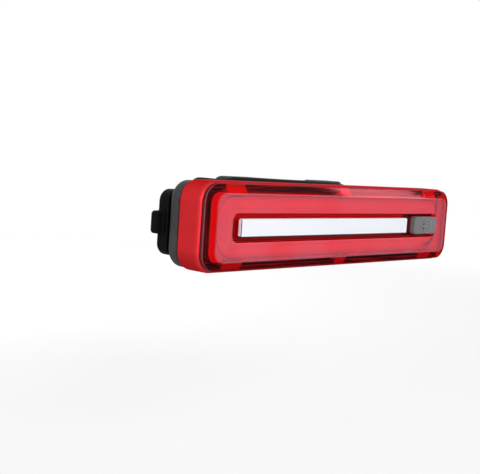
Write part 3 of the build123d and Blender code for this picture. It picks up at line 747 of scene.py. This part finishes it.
class Finish(Enum):
    """Every finish on the light."""

    LENS = ClearRed("clear_red_lens")
    GUIDE = GuideRed("milky_red_guide", (0.94, 0.0, 0.0), 0.35, 0.1, 0.5, 0.004, 0.03)
    BLOCKS = BlockRed("bright_red_blocks", (0.93, 0.0, 0.0), 0.35, 0.1, 0.5, 0.004, 0.04)
    # The inner frame takes the painted inner shading: painted shade, reflection streaks and painted light.
    FRAME = InnerShaded("maroon_inner_frame", (0.11, 0.0, 0.0), 0.5, 0.05)
    STRIP = StripWhite("milky_white_strip", (0.955, 0.968, 0.992), 0.4, 0.05, 0.35, 0.001, 0.004)
    PHOSPHOR = Moulded("yellow_phosphor", (0.95, 0.84, 0.4), 0.5)
    BUTTON = ButtonRubber("grey_button_rubber", (0.46, 0.455, 0.465), 0.45, 0.25, 0.2, 0.008, 0.06)
    BODY = BodyRed("satin_red_body", (0.86, 0.19, 0.21), 0.35, 0.0, 0.15, 0.003, 0.06)
    COVER = Moulded("grey_back_cover", (0.27, 0.27, 0.275), 0.6, 0.2, 0.3, 0.02, 0.1, 0.25)
    RUBBER = Moulded("black_rubber", (0.035, 0.035, 0.035), 0.62, 0.07, 0.3, 0.012, 0.15, 0.02)
    STRAP = StrapRubber("black_strap_rubber", (0.06, 0.06, 0.06), 0.6, 0.15, 0.3, 0.012, 0.15, 0.05)
    BRACKET = Moulded("black_bracket_plastic", (0.1, 0.1, 0.102), 0.55, 0.12, 0.3, 0.02, 0.12, 0.1)
    STEEL = Metal("plain_steel", (0.72, 0.72, 0.72), 0.3)
    BRASS = Metal("brass_pins", (0.85, 0.72, 0.42), 0.3)
    ALUMINIUM = Metal("aluminium_board", (0.85, 0.85, 0.86), 0.4)
    BOARD = Moulded("green_board", (0.08, 0.36, 0.2), 0.4, 0.4, 0.6, 0.01, 0.15)
    CHIP = Moulded("black_chip", (0.1, 0.1, 0.11), 0.5, 0.3)
    WHITE = Moulded("white_plastic", (0.88, 0.88, 0.86), 0.4)
    CERAMIC = Moulded("tan_ceramic", (0.66, 0.54, 0.4), 0.4)
    FOIL = Moulded("silver_foil", (0.78, 0.79, 0.8), 0.35, 0.5, 4.0, 0.05, 0.06)
    SLEEVE = Moulded("red_wire_sleeve", (0.7, 0.08, 0.08), 0.4)


class PaintShop:
    """Builds each finish once and puts it on solids and pieces."""

    def __init__(self) -> None:
        """Starts with no finish built."""
        self.made: dict[Finish, bpy.types.Material] = {}

    def coat(self, piece: bpy.types.Object, finish: Finish) -> None:
        """Gives a piece one finish all over.

        Args:
            piece: A mesh object.
            finish: The finish to use.
        """
        if finish not in self.made:
            self.made[finish] = finish.value.material()
        piece.data.materials.clear()
        piece.data.materials.append(self.made[finish])

    def coat_nodes(self, finishes: dict[str, Finish]) -> None:
        """Coats CAD nodes that stay as they are.

        Args:
            finishes: Each node's name and finish.
        """
        for node, finish in finishes.items():
            self.coat(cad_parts[node], finish)
            log.info("coated %s with %s", node, finish.value.name)


# Modelling


class Bench:
    """One piece on the bench, shaped with Blender's own tools."""

    merge_m: float = 2e-6
    flat_deg: float = 0.5
    sharp_deg: float = 25.0
    soften_deg: float = 35.0

    def __init__(self, piece: bpy.types.Object, name: str) -> None:
        """Takes a piece on the bench.

        Args:
            piece: The mesh object to work on.
            name: Its name from now on.
        """
        self.piece = piece
        piece.name = name
        piece.data.name = name
        self.hold()

    @classmethod
    def copy_of(cls, node: str, name: str, whole_faces: bool = True) -> Bench:
        """Copies a CAD node and joins its loose triangles.

        Args:
            node: The CAD node to start from.
            name: The new piece's name.
            whole_faces: Whether flat triangles are made whole faces again.

        Returns:
            The bench with the copy on it.
        """
        piece = bpy.data.objects.new(name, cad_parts[node].data.copy())
        bpy.context.scene.collection.objects.link(piece)
        bench = cls(piece, name)
        bpy.ops.object.mode_set(mode="EDIT")
        bpy.ops.mesh.select_all(action="SELECT")
        bpy.ops.mesh.remove_doubles(threshold=cls.merge_m)
        if whole_faces:
            bpy.ops.mesh.dissolve_limited(angle_limit=math.radians(cls.flat_deg))
        bpy.ops.object.mode_set(mode="OBJECT")
        return bench

    @classmethod
    def settled(cls, name: str) -> Bench:
        """Takes the shape just added, with its place put into its mesh.

        Args:
            name: The new piece's name.

        Returns:
            The bench with the shape on it.
        """
        bench = cls(bpy.context.object, name)
        bpy.ops.object.transform_apply(location=True, rotation=True, scale=True)
        return bench

    @classmethod
    def cuboid(cls, name: str, low: Sequence[float], high: Sequence[float]) -> Bench:
        """Adds a box between two corners.

        Args:
            name: The new piece's name.
            low: Its lowest corner in millimetres.
            high: Its highest corner in millimetres.

        Returns:
            The bench with the box on it.
        """
        bpy.ops.object.select_all(action="DESELECT")
        middle = [(a + b) / 2 * MM for a, b in zip(low, high)]
        size = [(b - a) * MM for a, b in zip(low, high)]
        bpy.ops.mesh.primitive_cube_add(size=1, location=middle, scale=size)
        return cls.settled(name)

    @classmethod
    def rod(cls, name: str, radius: float, ends: Sequence[Sequence[float]], sides: int) -> Bench:
        """Adds a cylinder between two points.

        Args:
            name: The new piece's name.
            radius: Its radius in millimetres.
            ends: The middles of its two ends, in millimetres.
            sides: How many sides it has.

        Returns:
            The bench with the cylinder on it.
        """
        bpy.ops.object.select_all(action="DESELECT")
        start, end = map(Vector, ends)
        way = (end - start) * MM
        bpy.ops.mesh.primitive_cylinder_add(
            vertices=sides, radius=radius * MM, depth=way.length,
            location=(start + end) / 2 * MM, rotation=way.to_track_quat("Z", "Y").to_euler())
        return cls.settled(name)

    def twin(self, shift: Sequence[float]) -> Bench:
        """Copies this piece, with its own mesh, and moves the copy.

        Args:
            shift: How far it moves, in millimetres.

        Returns:
            The bench with the copy on it.
        """
        piece = bpy.data.objects.new(self.piece.name, self.piece.data.copy())
        bpy.context.scene.collection.objects.link(piece)
        piece.data.transform(Matrix.Translation(Vector(shift) * MM))
        return Bench(piece, self.piece.name + "_twin")

    def hold(self) -> None:
        """Selects this piece alone."""
        bpy.ops.object.select_all(action="DESELECT")
        self.piece.select_set(True)
        bpy.context.view_layer.objects.active = self.piece

    def edit(self, kind: str) -> None:
        """Goes into edit mode with nothing selected.

        Args:
            kind: FACE or EDGE, for what is selected next.
        """
        self.hold()
        bpy.ops.object.mode_set(mode="EDIT")
        bpy.ops.mesh.select_mode(type=kind)
        bpy.ops.mesh.select_all(action="DESELECT")

    def pick_faces(self, test: Callable[[Vector, Vector], bool]) -> None:
        """Goes into edit mode with some faces selected.

        Args:
            test: Whether a face counts, from its middle in millimetres and its normal.
        """
        self.edit("FACE")
        bpy.ops.object.mode_set(mode="OBJECT")
        for face in self.piece.data.polygons:
            face.select = test(face.center / MM, face.normal)
        bpy.ops.object.mode_set(mode="EDIT")

    def pick_edges(self, test: Callable[[Vector, Vector], bool]) -> int:
        """Goes into edit mode with some sharp edges selected.

        Args:
            test: Whether an edge counts, from its two ends in millimetres.

        Returns:
            How many edges are selected.
        """
        self.edit("EDGE")
        bpy.ops.mesh.edges_select_sharp(sharpness=math.radians(self.sharp_deg))
        bpy.ops.object.mode_set(mode="OBJECT")
        mesh = self.piece.data
        sharp = [edge for edge in mesh.edges if edge.select]
        for parts in (mesh.polygons, mesh.edges, mesh.vertices):
            parts.foreach_set("select", [False] * len(parts))
        picked = 0
        for edge in sharp:
            edge.select = test(*(mesh.vertices[i].co / MM for i in edge.vertices))
            picked += edge.select
        bpy.ops.object.mode_set(mode="EDIT")
        return picked

    def round_picked(self, width: float, segments: int, held: bool = False) -> None:
        """Bevels the picked edges and leaves edit mode.

        Args:
            width: The rounding's width in millimetres.
            segments: How many steps it has.
            held: Whether it stays narrow enough not to run into its neighbours.
        """
        bpy.ops.mesh.bevel(offset=width * MM, segments=segments, profile=0.5, affect="EDGES",
                           clamp_overlap=held)
        bpy.ops.object.mode_set(mode="OBJECT")

    def inset(self, *steps: Pair) -> None:
        """Insets the picked faces step by step and leaves edit mode.

        Args:
            steps: Each inset's width and rise in millimetres.
        """
        for width, rise in steps:
            bpy.ops.mesh.inset(thickness=width * MM, depth=rise * MM)
        bpy.ops.object.mode_set(mode="OBJECT")

    def modify(self, kind: str, **settings: object) -> None:
        """Adds a modifier, sets its options and applies it.

        Args:
            kind: The modifier's type.
            settings: Its options.
        """
        self.hold()
        bpy.ops.object.modifier_add(type=kind)
        modifier = self.piece.modifiers[-1]
        for option, value in settings.items():
            setattr(modifier, option, value)
        bpy.ops.object.modifier_apply(modifier=modifier.name)

    def soften(self, width: float, segments: int = 3, arcs: bool = True) -> None:
        """Rounds every sharp edge.

        Args:
            width: The rounding's width in millimetres.
            segments: How many steps it has.
            arcs: Whether outer corners are rounded in plan too.
        """
        self.modify("BEVEL", width=width * MM, segments=segments, limit_method="ANGLE",
                    angle_limit=math.radians(self.soften_deg), use_clamp_overlap=False,
                    miter_outer="MITER_ARC" if arcs else "MITER_SHARP")

    def smooth(self, angle_deg: float = 40.0, weighted: bool = True) -> None:
        """Shades the piece smooth, but for edges sharper than an angle.

        Args:
            angle_deg: The angle in degrees.
            weighted: Whether flat faces stay flat beside their roundings.
        """
        self.hold()
        bpy.ops.object.shade_smooth_by_angle(angle=math.radians(angle_deg))
        if weighted:
            self.modify("WEIGHTED_NORMAL", keep_sharp=True)

    def join(self, others: Sequence[Bench]) -> None:
        """Joins other pieces into this one.

        Args:
            others: The benches whose pieces go in.
        """
        self.hold()
        for other in others:
            other.piece.select_set(True)
        bpy.ops.object.join()


@dataclass
class Assembly:
    """Common ground of the sub-assemblies."""

    shop: PaintShop

    def fit(self, bench: Bench, body: str, node: str, slot: str, finish: Finish) -> None:
        """Coats a piece, fixes it to its body and lets it stand for its CAD node.

        Args:
            bench: The bench that holds the finished piece.
            body: The CAD body it rides on.
            node: The CAD node it replaces.
            slot: Not used.
            finish: Its finish.
        """
        self.shop.coat(bench.piece, finish)
        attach(bench.piece, body)
        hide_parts(node)
        log.info("fitted %s for %s, %d faces", bench.piece.name, node, len(bench.piece.data.polygons))

    def soft_copy(self, node: str, width: float, body: str, slot: str, finish: Finish,
                  arcs: bool = True) -> None:
        """Replaces a CAD node by a copy with rounded edges.

        Args:
            node: The CAD node.
            width: Width of its edges' rounding in millimetres.
            body: The body it rides on.
            slot: Handed on to fit.
            finish: Its finish.
            arcs: Whether outer corners are rounded in plan too.
        """
        bench = Bench.copy_of(node, node + "_piece")
        bench.soften(width, arcs=arcs)
        bench.smooth()
        self.fit(bench, body, node, slot, finish)


@dataclass
class LensGroup(Assembly):
    """Clear red lens, and the guide, blocks and frame that show through it."""

    lens_round: float = 0.22
    guide_round: float = 0.1

    def build(self) -> None:
        """Builds and dresses the pieces."""
        self.soft_copy("front_lens", self.lens_round, "light", "red_lens", Finish.LENS)
        self.soft_copy("diffuser_panel", self.guide_round, "light", "red_diffuser", Finish.GUIDE)
        self.shop.coat_nodes({"light_blocks": Finish.BLOCKS, "inner_frame": Finish.FRAME})


@dataclass
class StripGroup(Assembly):
    """White strip cover with its board, phosphor and pins."""

    strip_round: float = 0.3

    def build(self) -> None:
        """Builds and dresses the pieces."""
        self.soft_copy("strip_cover", self.strip_round, "light", "white_cover", Finish.STRIP)
        self.shop.coat_nodes({"cob_board": Finish.ALUMINIUM, "cob_phosphor": Finish.PHOSPHOR,
                              "cob_leads": Finish.BRASS})


@dataclass
class ButtonGroup(Assembly):
    """Rubber button with its raised power symbol, seal and switch."""

    left_x: float = 33.8
    right_x: float = 46.3
    half_width: float = 2.7
    corner: float = 1.15
    root_at: float = -31.0
    wall_to_at: float = -33.9
    pillow: tuple[Pair, ...] = (
        (0.05, 0.2), (0.08, 0.16), (0.12, 0.11), (0.16, 0.07), (0.2, 0.03), (0.3, 0.02))
    flange: tuple[Triple, Triple] = ((31.6, -31.45, -3.1), (46.7, -30.85, 3.1))
    foot_round: float = 0.1
    nub_x: float = 39.15
    nub_at: Pair = (-30.9, -30.15)
    nub_radius: float = 1.2
    nub_sides: int = 24
    symbol: PowerSymbol = PowerSymbol()
    ring_steps: tuple[int, int] = (72, 12)
    bar_round: float = 0.12
    bar_sides: int = 16
    smooth_deg: float = 50.0

    def cap(self) -> Bench:
        """Models the cap: straight walls that turn over softly into a pillowed face.

        Returns:
            The bench with the cap on it.
        """
        cap = Bench.cuboid("button_piece", (self.left_x, self.wall_to_at, -self.half_width),
                           (self.right_x, self.root_at, self.half_width))
        cap.pick_edges(runs_back)
        cap.round_picked(self.corner, segments=8)
        cap.pick_faces(lambda middle, normal: normal.y < -FACING)
        cap.inset(*self.pillow)
        return cap

    def ring(self, middle: Vector) -> Bench:
        """Models the symbol's ring, open towards the strip.

        Args:
            middle: Its middle in millimetres.

        Returns:
            The bench with the ring on it.
        """
        bpy.ops.object.select_all(action="DESELECT")
        round_it, round_wire = self.ring_steps
        bpy.ops.mesh.primitive_torus_add(
            major_segments=round_it, minor_segments=round_wire, major_radius=self.symbol.radius * MM,
            minor_radius=self.symbol.line * MM, location=middle * MM, rotation=(math.pi / 2, 0, 0))
        ring = Bench.settled("symbol_ring")

        def in_gap(place: Vector, _: Vector) -> bool:
            """Tells whether a face lies in the gap."""
            angle = math.degrees(math.atan2(place.z - middle.z, -(place.x - middle.x)))
            return abs(angle) < self.symbol.gap_deg / 2

        ring.pick_faces(in_gap)
        bpy.ops.mesh.delete(type="FACE")
        bpy.ops.mesh.select_all(action="DESELECT")
        bpy.ops.mesh.select_mode(type="EDGE")
        bpy.ops.mesh.select_non_manifold()
        bpy.ops.mesh.edge_face_add()
        bpy.ops.object.mode_set(mode="OBJECT")
        return ring

    def bar(self, middle: Vector) -> Bench:
        """Models the bar that stands in the ring's gap.

        Args:
            middle: The ring's middle in millimetres.

        Returns:
            The bench with the bar on it.
        """
        ends = [middle - Vector((out, 0, 0)) for out in (self.symbol.bar_out, self.symbol.bar_in)]
        bar = Bench.rod("symbol_bar", self.symbol.line, ends, self.bar_sides)
        bar.soften(self.bar_round)
        return bar

    def build(self) -> None:
        """Builds and dresses the pieces."""
        cap = self.cap()
        flange = Bench.cuboid("button_flange", *self.flange)
        ends = [(self.nub_x, at, 0) for at in self.nub_at]
        nub = Bench.rod("button_nub", self.nub_radius, ends, self.nub_sides)
        for foot in (flange, nub):
            foot.soften(self.foot_round, segments=2)
        face_at = self.wall_to_at - sum(rise for _, rise in self.pillow)
        middle = Vector((self.symbol.x, face_at + self.symbol.line - self.symbol.proud, self.symbol.z))
        cap.join([flange, nub, self.ring(middle), self.bar(middle)])
        cap.smooth(self.smooth_deg, weighted=False)
        self.fit(cap, "button", "button_cap", "grey_button", Finish.BUTTON)
        self.shop.coat_nodes({"button_seal": Finish.RUBBER, "switch_body": Finish.CHIP,
                              "switch_plunger": Finish.WHITE})


@dataclass
class CaseGroup(Assembly):
    """Red middle body, gasket, grey back cover and screws."""

    body_back_round: float = 0.55
    body_back_at: float = -24.55
    cover_round: float = 0.4
    cover_front_at: float = -24.15
    corner: float = 5.2
    wall_least: float = 0.9
    slack: float = 0.01

    def rim_test(self, level: float, piece: bpy.types.Object) -> Callable[[Vector, Vector], bool]:
        """Makes a test for edges on a case half's outer rim.

        Args:
            level: The rim's Y in millimetres.
            piece: The case half.

        Returns:
            Whether an edge, given by its two ends in millimetres, is on that rim.
        """
        half_x = max(abs(vertex.co.x) for vertex in piece.data.vertices) / MM
        half_z = max(abs(vertex.co.z) for vertex in piece.data.vertices) / MM

        def outside(end: Vector) -> bool:
            """Tells whether an end lies on the rim's outer line.

            Args:
                end: The end in millimetres.

            Returns:
                Whether it lies there.
            """
            over = Vector((max(abs(end.x) - half_x + self.corner, 0),
                           max(abs(end.z) - half_z + self.corner, 0)))
            return abs(end.y - level) < self.slack and over.length > self.corner - self.wall_least

        return lambda first, last: outside(first) and outside(last)

    def half(self, node: str, whole_faces: bool, rim_at: float, rounding: tuple[float, int, bool],
             slot: str, finish: Finish) -> None:
        """Replaces a case half by a copy whose rim at the seam is rounded.

        Args:
            node: The CAD node.
            whole_faces: Whether its flat triangles are made whole faces first.
            rim_at: The rim's Y in millimetres.
            rounding: The rounding's width and steps, and whether it is held.
            slot: Handed on to fit.
            finish: Its finish.
        """
        bench = Bench.copy_of(node, node + "_piece", whole_faces)
        log.info("rounding %d edges of %s", bench.pick_edges(self.rim_test(rim_at, bench.piece)), node)
        bench.round_picked(*rounding)
        bench.smooth()
        self.fit(bench, "light", node, slot, finish)

    def build(self) -> None:
        """Builds and dresses the pieces."""
        self.half("mid_body", True, self.body_back_at, (self.body_back_round, 4, False),
                  "red_body", Finish.BODY)
        self.half("back_cover", False, self.cover_front_at, (self.cover_round, 3, True),
                  "dark_cover", Finish.COVER)
        self.shop.coat_nodes({"body_gasket": Finish.RUBBER, "cover_screws": Finish.STEEL})


@dataclass
class PortGroup(Assembly):
    """Rubber flap, its anchor and the charging socket."""

    flap_round: float = 0.35
    anchor_round: float = 0.3
    tab_back_at: float = -16.5
    tab_ribs_x: Triple = (-56.85, -56.1, -55.35)
    tab_rib_size: Triple = (0.34, 0.16, 4.3)
    tab_rib_root: float = 0.1
    tab_rib_round: float = 0.07
    panel_half: Pair = (3.6, 6.6)
    panel_x: float = -50.2
    panel_corner: float = 2.6
    panel_sunk: float = 0.14
    cutter_proud: float = 1.0

    def tab_ribs(self) -> list[Bench]:
        """Models one grip rib on the finger tab and copies it along the tab.

        Returns:
            The benches with the ribs on them.
        """
        wide, high, long = self.tab_rib_size
        first = self.tab_ribs_x[0]
        rib = Bench.cuboid("tab_rib", (first - wide / 2, self.tab_back_at - self.tab_rib_root, -long / 2),
                           (first + wide / 2, self.tab_back_at + high, long / 2))
        rib.soften(self.tab_rib_round, segments=2, arcs=False)
        return [rib] + [rib.twin((x - first, 0, 0)) for x in self.tab_ribs_x[1:]]

    def sink_panel(self, flap: Bench) -> None:
        """Sinks a rounded panel into the flap's back, inside a plain rim.

        Args:
            flap: The bench with the flap on it.
        """
        half_x, half_z = self.panel_half
        cutter = Bench.cuboid("flap_cutter",
                              (self.panel_x - half_x, self.tab_back_at - self.panel_sunk, -half_z),
                              (self.panel_x + half_x, self.tab_back_at + self.cutter_proud, half_z))
        cutter.pick_edges(runs_back)
        cutter.round_picked(self.panel_corner, segments=6)
        flap.modify("BOOLEAN", operation="DIFFERENCE", solver="EXACT", object=cutter.piece)
        bpy.data.objects.remove(cutter.piece)

    def build(self) -> None:
        """Builds and dresses the pieces."""
        flap = Bench.copy_of("port_flap", "port_flap_piece")
        flap.soften(self.flap_round)
        self.sink_panel(flap)
        flap.join(self.tab_ribs())
        flap.smooth()
        self.fit(flap, "flap", "port_flap", "black_rubber", Finish.RUBBER)
        self.soft_copy("flap_anchor", self.anchor_round, "light", "black_rubber", Finish.RUBBER)
        self.shop.coat_nodes({"usb_shell": Finish.STEEL, "usb_tongue": Finish.CHIP})


@dataclass
class MountGroup(Assembly):
    """Slide plate, swivel, saddle, pad and rubber strap."""

    plate_round: float = 0.12
    saddle_round: float = 0.5
    pad_round: float = 0.25
    rivet_round: float = 0.2
    strap_round: float = 0.45
    band_half: float = 8.0
    band_from_at: float = 1.5
    end_from_x: float = 27.4
    end_middle_x: float = 28.65
    end_skin: float = 0.9
    end_to_at: float = -4.4
    end_step: float = 0.2
    slack: float = 0.02
    tail_x: float = 29.75
    ribs_at: Triple = (-13.9, -15.1, -16.3)
    rib_size: Triple = (0.35, 0.55, 8.4)
    rib_root: float = 0.2
    rib_foot_share: float = 0.4
    rib_taper_share: float = 0.28
    rib_round: float = 0.07

    def strap_edge(self, first: Vector, last: Vector) -> bool:
        """Tells whether an edge of the strap is rounded: the band's rims and the end plates' outlines.

        Args:
            first: The edge's first end in millimetres.
            last: The edge's last end in millimetres.

        Returns:
            Whether it is rounded.
        """
        ends = (first, last)
        on_band = all(end.y > self.band_from_at and abs(abs(end.z) - self.band_half) < self.slack
                      for end in ends)
        on_plate = all(abs(end.x) > self.end_from_x
                       and (end.y < self.end_to_at or abs(end.z) > self.band_half + self.end_step)
                       for end in ends)
        flat = (abs(first.x - last.x) < self.slack
                and abs(abs(first.x) - self.end_middle_x) > self.end_skin)
        return on_band or (on_plate and flat)

    def rib(self) -> Bench:
        """Models one grip rib: a bar that tapers to a rounded top.

        Returns:
            The bench with the rib on it.
        """
        deep, wide, long = self.rib_size
        first = self.ribs_at[0]
        foot = deep * self.rib_foot_share
        rib = Bench.cuboid("strap_rib", (self.tail_x - self.rib_root, first - wide / 2, -long / 2),
                           (self.tail_x + foot, first + wide / 2, long / 2))
        rib.pick_faces(lambda middle, normal: normal.x > FACING)
        rib.inset((wide * self.rib_taper_share, deep - foot))
        rib.soften(self.rib_round, segments=2, arcs=False)
        return rib

    def strap(self) -> None:
        """Rounds the strap's rims and gives its pull tab grip ribs."""
        strap = Bench.copy_of("strap", "strap_piece", False)
        log.info("rounding %d edges of strap", strap.pick_edges(self.strap_edge))
        strap.round_picked(self.strap_round, segments=3, held=True)
        rib = self.rib()
        strap.join([rib] + [rib.twin((0, at - self.ribs_at[0], 0)) for at in self.ribs_at[1:]])
        strap.smooth(weighted=False)
        self.fit(strap, "mount", "strap", "black_rubber", Finish.STRAP)

    def build(self) -> None:
        """Builds and dresses the pieces."""
        self.soft_copy("slide_plate", self.plate_round, "bracket", "black_bracket", Finish.BRACKET, False)
        self.soft_copy("saddle", self.saddle_round, "mount", "black_bracket", Finish.BRACKET)
        self.soft_copy("saddle_pad", self.pad_round, "mount", "black_rubber", Finish.RUBBER)
        self.strap()
        self.soft_copy("swivel_rivet", self.rivet_round, "mount", "steel", Finish.STEEL)
        self.shop.coat_nodes({"swivel_washer": Finish.WHITE})


@dataclass
class Electronics(Assembly):
    """Boards, cell and small parts inside the case."""

    def build(self) -> None:
        """Dresses the parts inside."""
        self.shop.coat_nodes({
            "main_board": Finish.BOARD, "battery_cell": Finish.FOIL, "battery_tape": Finish.WHITE,
            "battery_foam": Finish.RUBBER, "battery_board": Finish.BOARD, "battery_wires": Finish.SLEEVE,
            "charge_chip": Finish.CHIP, "driver_chip": Finish.CHIP, "inductor": Finish.CHIP,
            "capacitors": Finish.CERAMIC, "status_led": Finish.WHITE})


# Studio


@dataclass(frozen=True)
class SoftBox:
    """A soft lamp that faces the origin from where a viewer would stand."""

    name: str
    azimuth_deg: float
    elevation_deg: float
    reach_mm: float
    size_mm: Pair
    watts: float

    def place(self) -> None:
        """Puts the lamp into the scene."""
        data = bpy.data.lights.new(self.name, "AREA")
        data.shape, data.energy = "RECTANGLE", self.watts
        data.size, data.size_y = (side * MM for side in self.size_mm)
        lamp = bpy.data.objects.new(self.name, data)
        bpy.context.scene.collection.objects.link(lamp)
        way = towards(self.azimuth_deg, self.elevation_deg)
        lamp.location = way * self.reach_mm * MM
        lamp.rotation_mode = "QUATERNION"
        lamp.rotation_quaternion = (-way).to_track_quat("-Z", "Y")


@dataclass
class Studio:
    """Camera, lamps, floor and background."""

    camera_mm: Triple = (-205.01, -182.07, 17.11)
    azimuth_deg: float = -47.43
    elevation_deg: float = 5.02
    roll_deg: float = 3.95
    focal_px: float = 910.11
    image_px: float = 480.0
    sensor_mm: float = 36.0
    clip_m: Pair = (0.01, 20.0)
    lamps: tuple[SoftBox, ...] = (
        SoftBox("key", -29, 16, 700, (240, 300), 2.7),
        SoftBox("side", 66.8, 28, 700, (50, 130), 0.36),
        SoftBox("rear", 165, 12, 800, (500, 400), 2.6))
    floor_z_mm: float = -96.0
    floor_radius_mm: float = 900.0
    floor_sides: int = 96
    floor_fade_mm: Pair = (260.0, 882.0)
    floor_cloud_mm: float = 60.0
    floor_tones: tuple[Triple, Triple] = ((0.95, 0.95, 0.95), (0.97, 0.97, 0.97))
    floor_lift: float = 0.43
    world_low: float = 0.5
    world_high: float = 0.12

    def camera(self) -> None:
        """Puts the camera where the photograph was taken from."""
        back = towards(self.azimuth_deg, self.elevation_deg)
        roll = math.radians(self.roll_deg)
        level = Vector((0, 0, 1)).cross(back).normalized()
        right = math.cos(roll) * level + math.sin(roll) * back.cross(level)
        data = bpy.data.cameras.new("camera")
        data.sensor_width = self.sensor_mm
        data.lens = self.focal_px / self.image_px * self.sensor_mm
        data.clip_start, data.clip_end = self.clip_m
        camera = bpy.data.objects.new("camera", data)
        bpy.context.scene.collection.objects.link(camera)
        camera.matrix_world = Matrix((right, back.cross(right), back)).transposed().to_4x4()
        camera.location = Vector(self.camera_mm) * MM
        bpy.context.scene.camera = camera

    def background(self) -> None:
        """Sets a white surrounding for eyes and reflections, and a calmer one for light."""
        world = bpy.data.worlds.new("studio")
        bpy.context.scene.world = world
        sheet = NodeSheet(world)
        rays = sheet.add("LightPath").outputs
        seen = rays["Is Camera Ray"]
        for ray in ("Is Glossy Ray", "Is Transmission Ray"):
            seen = sheet.math("MAXIMUM", seen, rays[ray])
        height = sheet.remap(sheet.axis("Z"), self.world_low, self.world_high)
        calm, white = (sheet.add("Background", {"Color": (1.0, 1.0, 1.0), "Strength": strength}).outputs[0]
                       for strength in (height, 1.0))
        sheet.finish(sheet.add("MixShader", {0: seen, 1: calm, 2: white}).outputs[0])

    def floor(self) -> None:
        """Lays a pale round floor that fades out into the background."""
        bpy.ops.object.select_all(action="DESELECT")
        bpy.ops.mesh.primitive_circle_add(vertices=self.floor_sides, radius=self.floor_radius_mm * MM,
                                          fill_type="NGON", location=(0, 0, self.floor_z_mm * MM))
        floor = Bench.settled("floor").piece
        sheet = NodeSheet(bpy.data.materials.new("pale_floor"))
        reach = sheet.length(sheet.vector("MULTIPLY", sheet.coords, (1, 1, 0)))
        fade = sheet.remap(reach, 0.0, 1.0, *(place * MM for place in self.floor_fade_mm))
        tone = sheet.blend(sheet.noise(self.floor_cloud_mm, detail=3.0), *self.floor_tones)
        pale = sheet.add("BsdfDiffuse", {"Color": tone}).outputs[0]
        lift = sheet.math("MULTIPLY", sheet.add("LightPath").outputs["Is Camera Ray"], self.floor_lift)
        glow = sheet.add("Emission", {"Strength": lift}).outputs[0]
        lit = sheet.add("AddShader", {0: pale, 1: glow}).outputs[0]
        gone = sheet.add("BsdfTransparent").outputs[0]
        shader = sheet.add("MixShader", {0: fade, 1: lit, 2: gone}).outputs[0]
        floor.data.materials.append(sheet.finish(shader))

    def build(self) -> None:
        """Sets up everything around the object."""
        self.camera()
        for lamp in self.lamps:
            lamp.place()
        self.background()
        self.floor()
        bpy.context.scene.view_settings.view_transform = "Standard"


def main() -> None:
    """Builds the scene in order."""
    logging.basicConfig(level=logging.INFO, format="%(message)s")
    shop = PaintShop()
    Studio().build()
    for group in (LensGroup, StripGroup, ButtonGroup, CaseGroup, PortGroup, MountGroup, Electronics):
        group(shop).build()


if __name__ == "__main__":
    main()
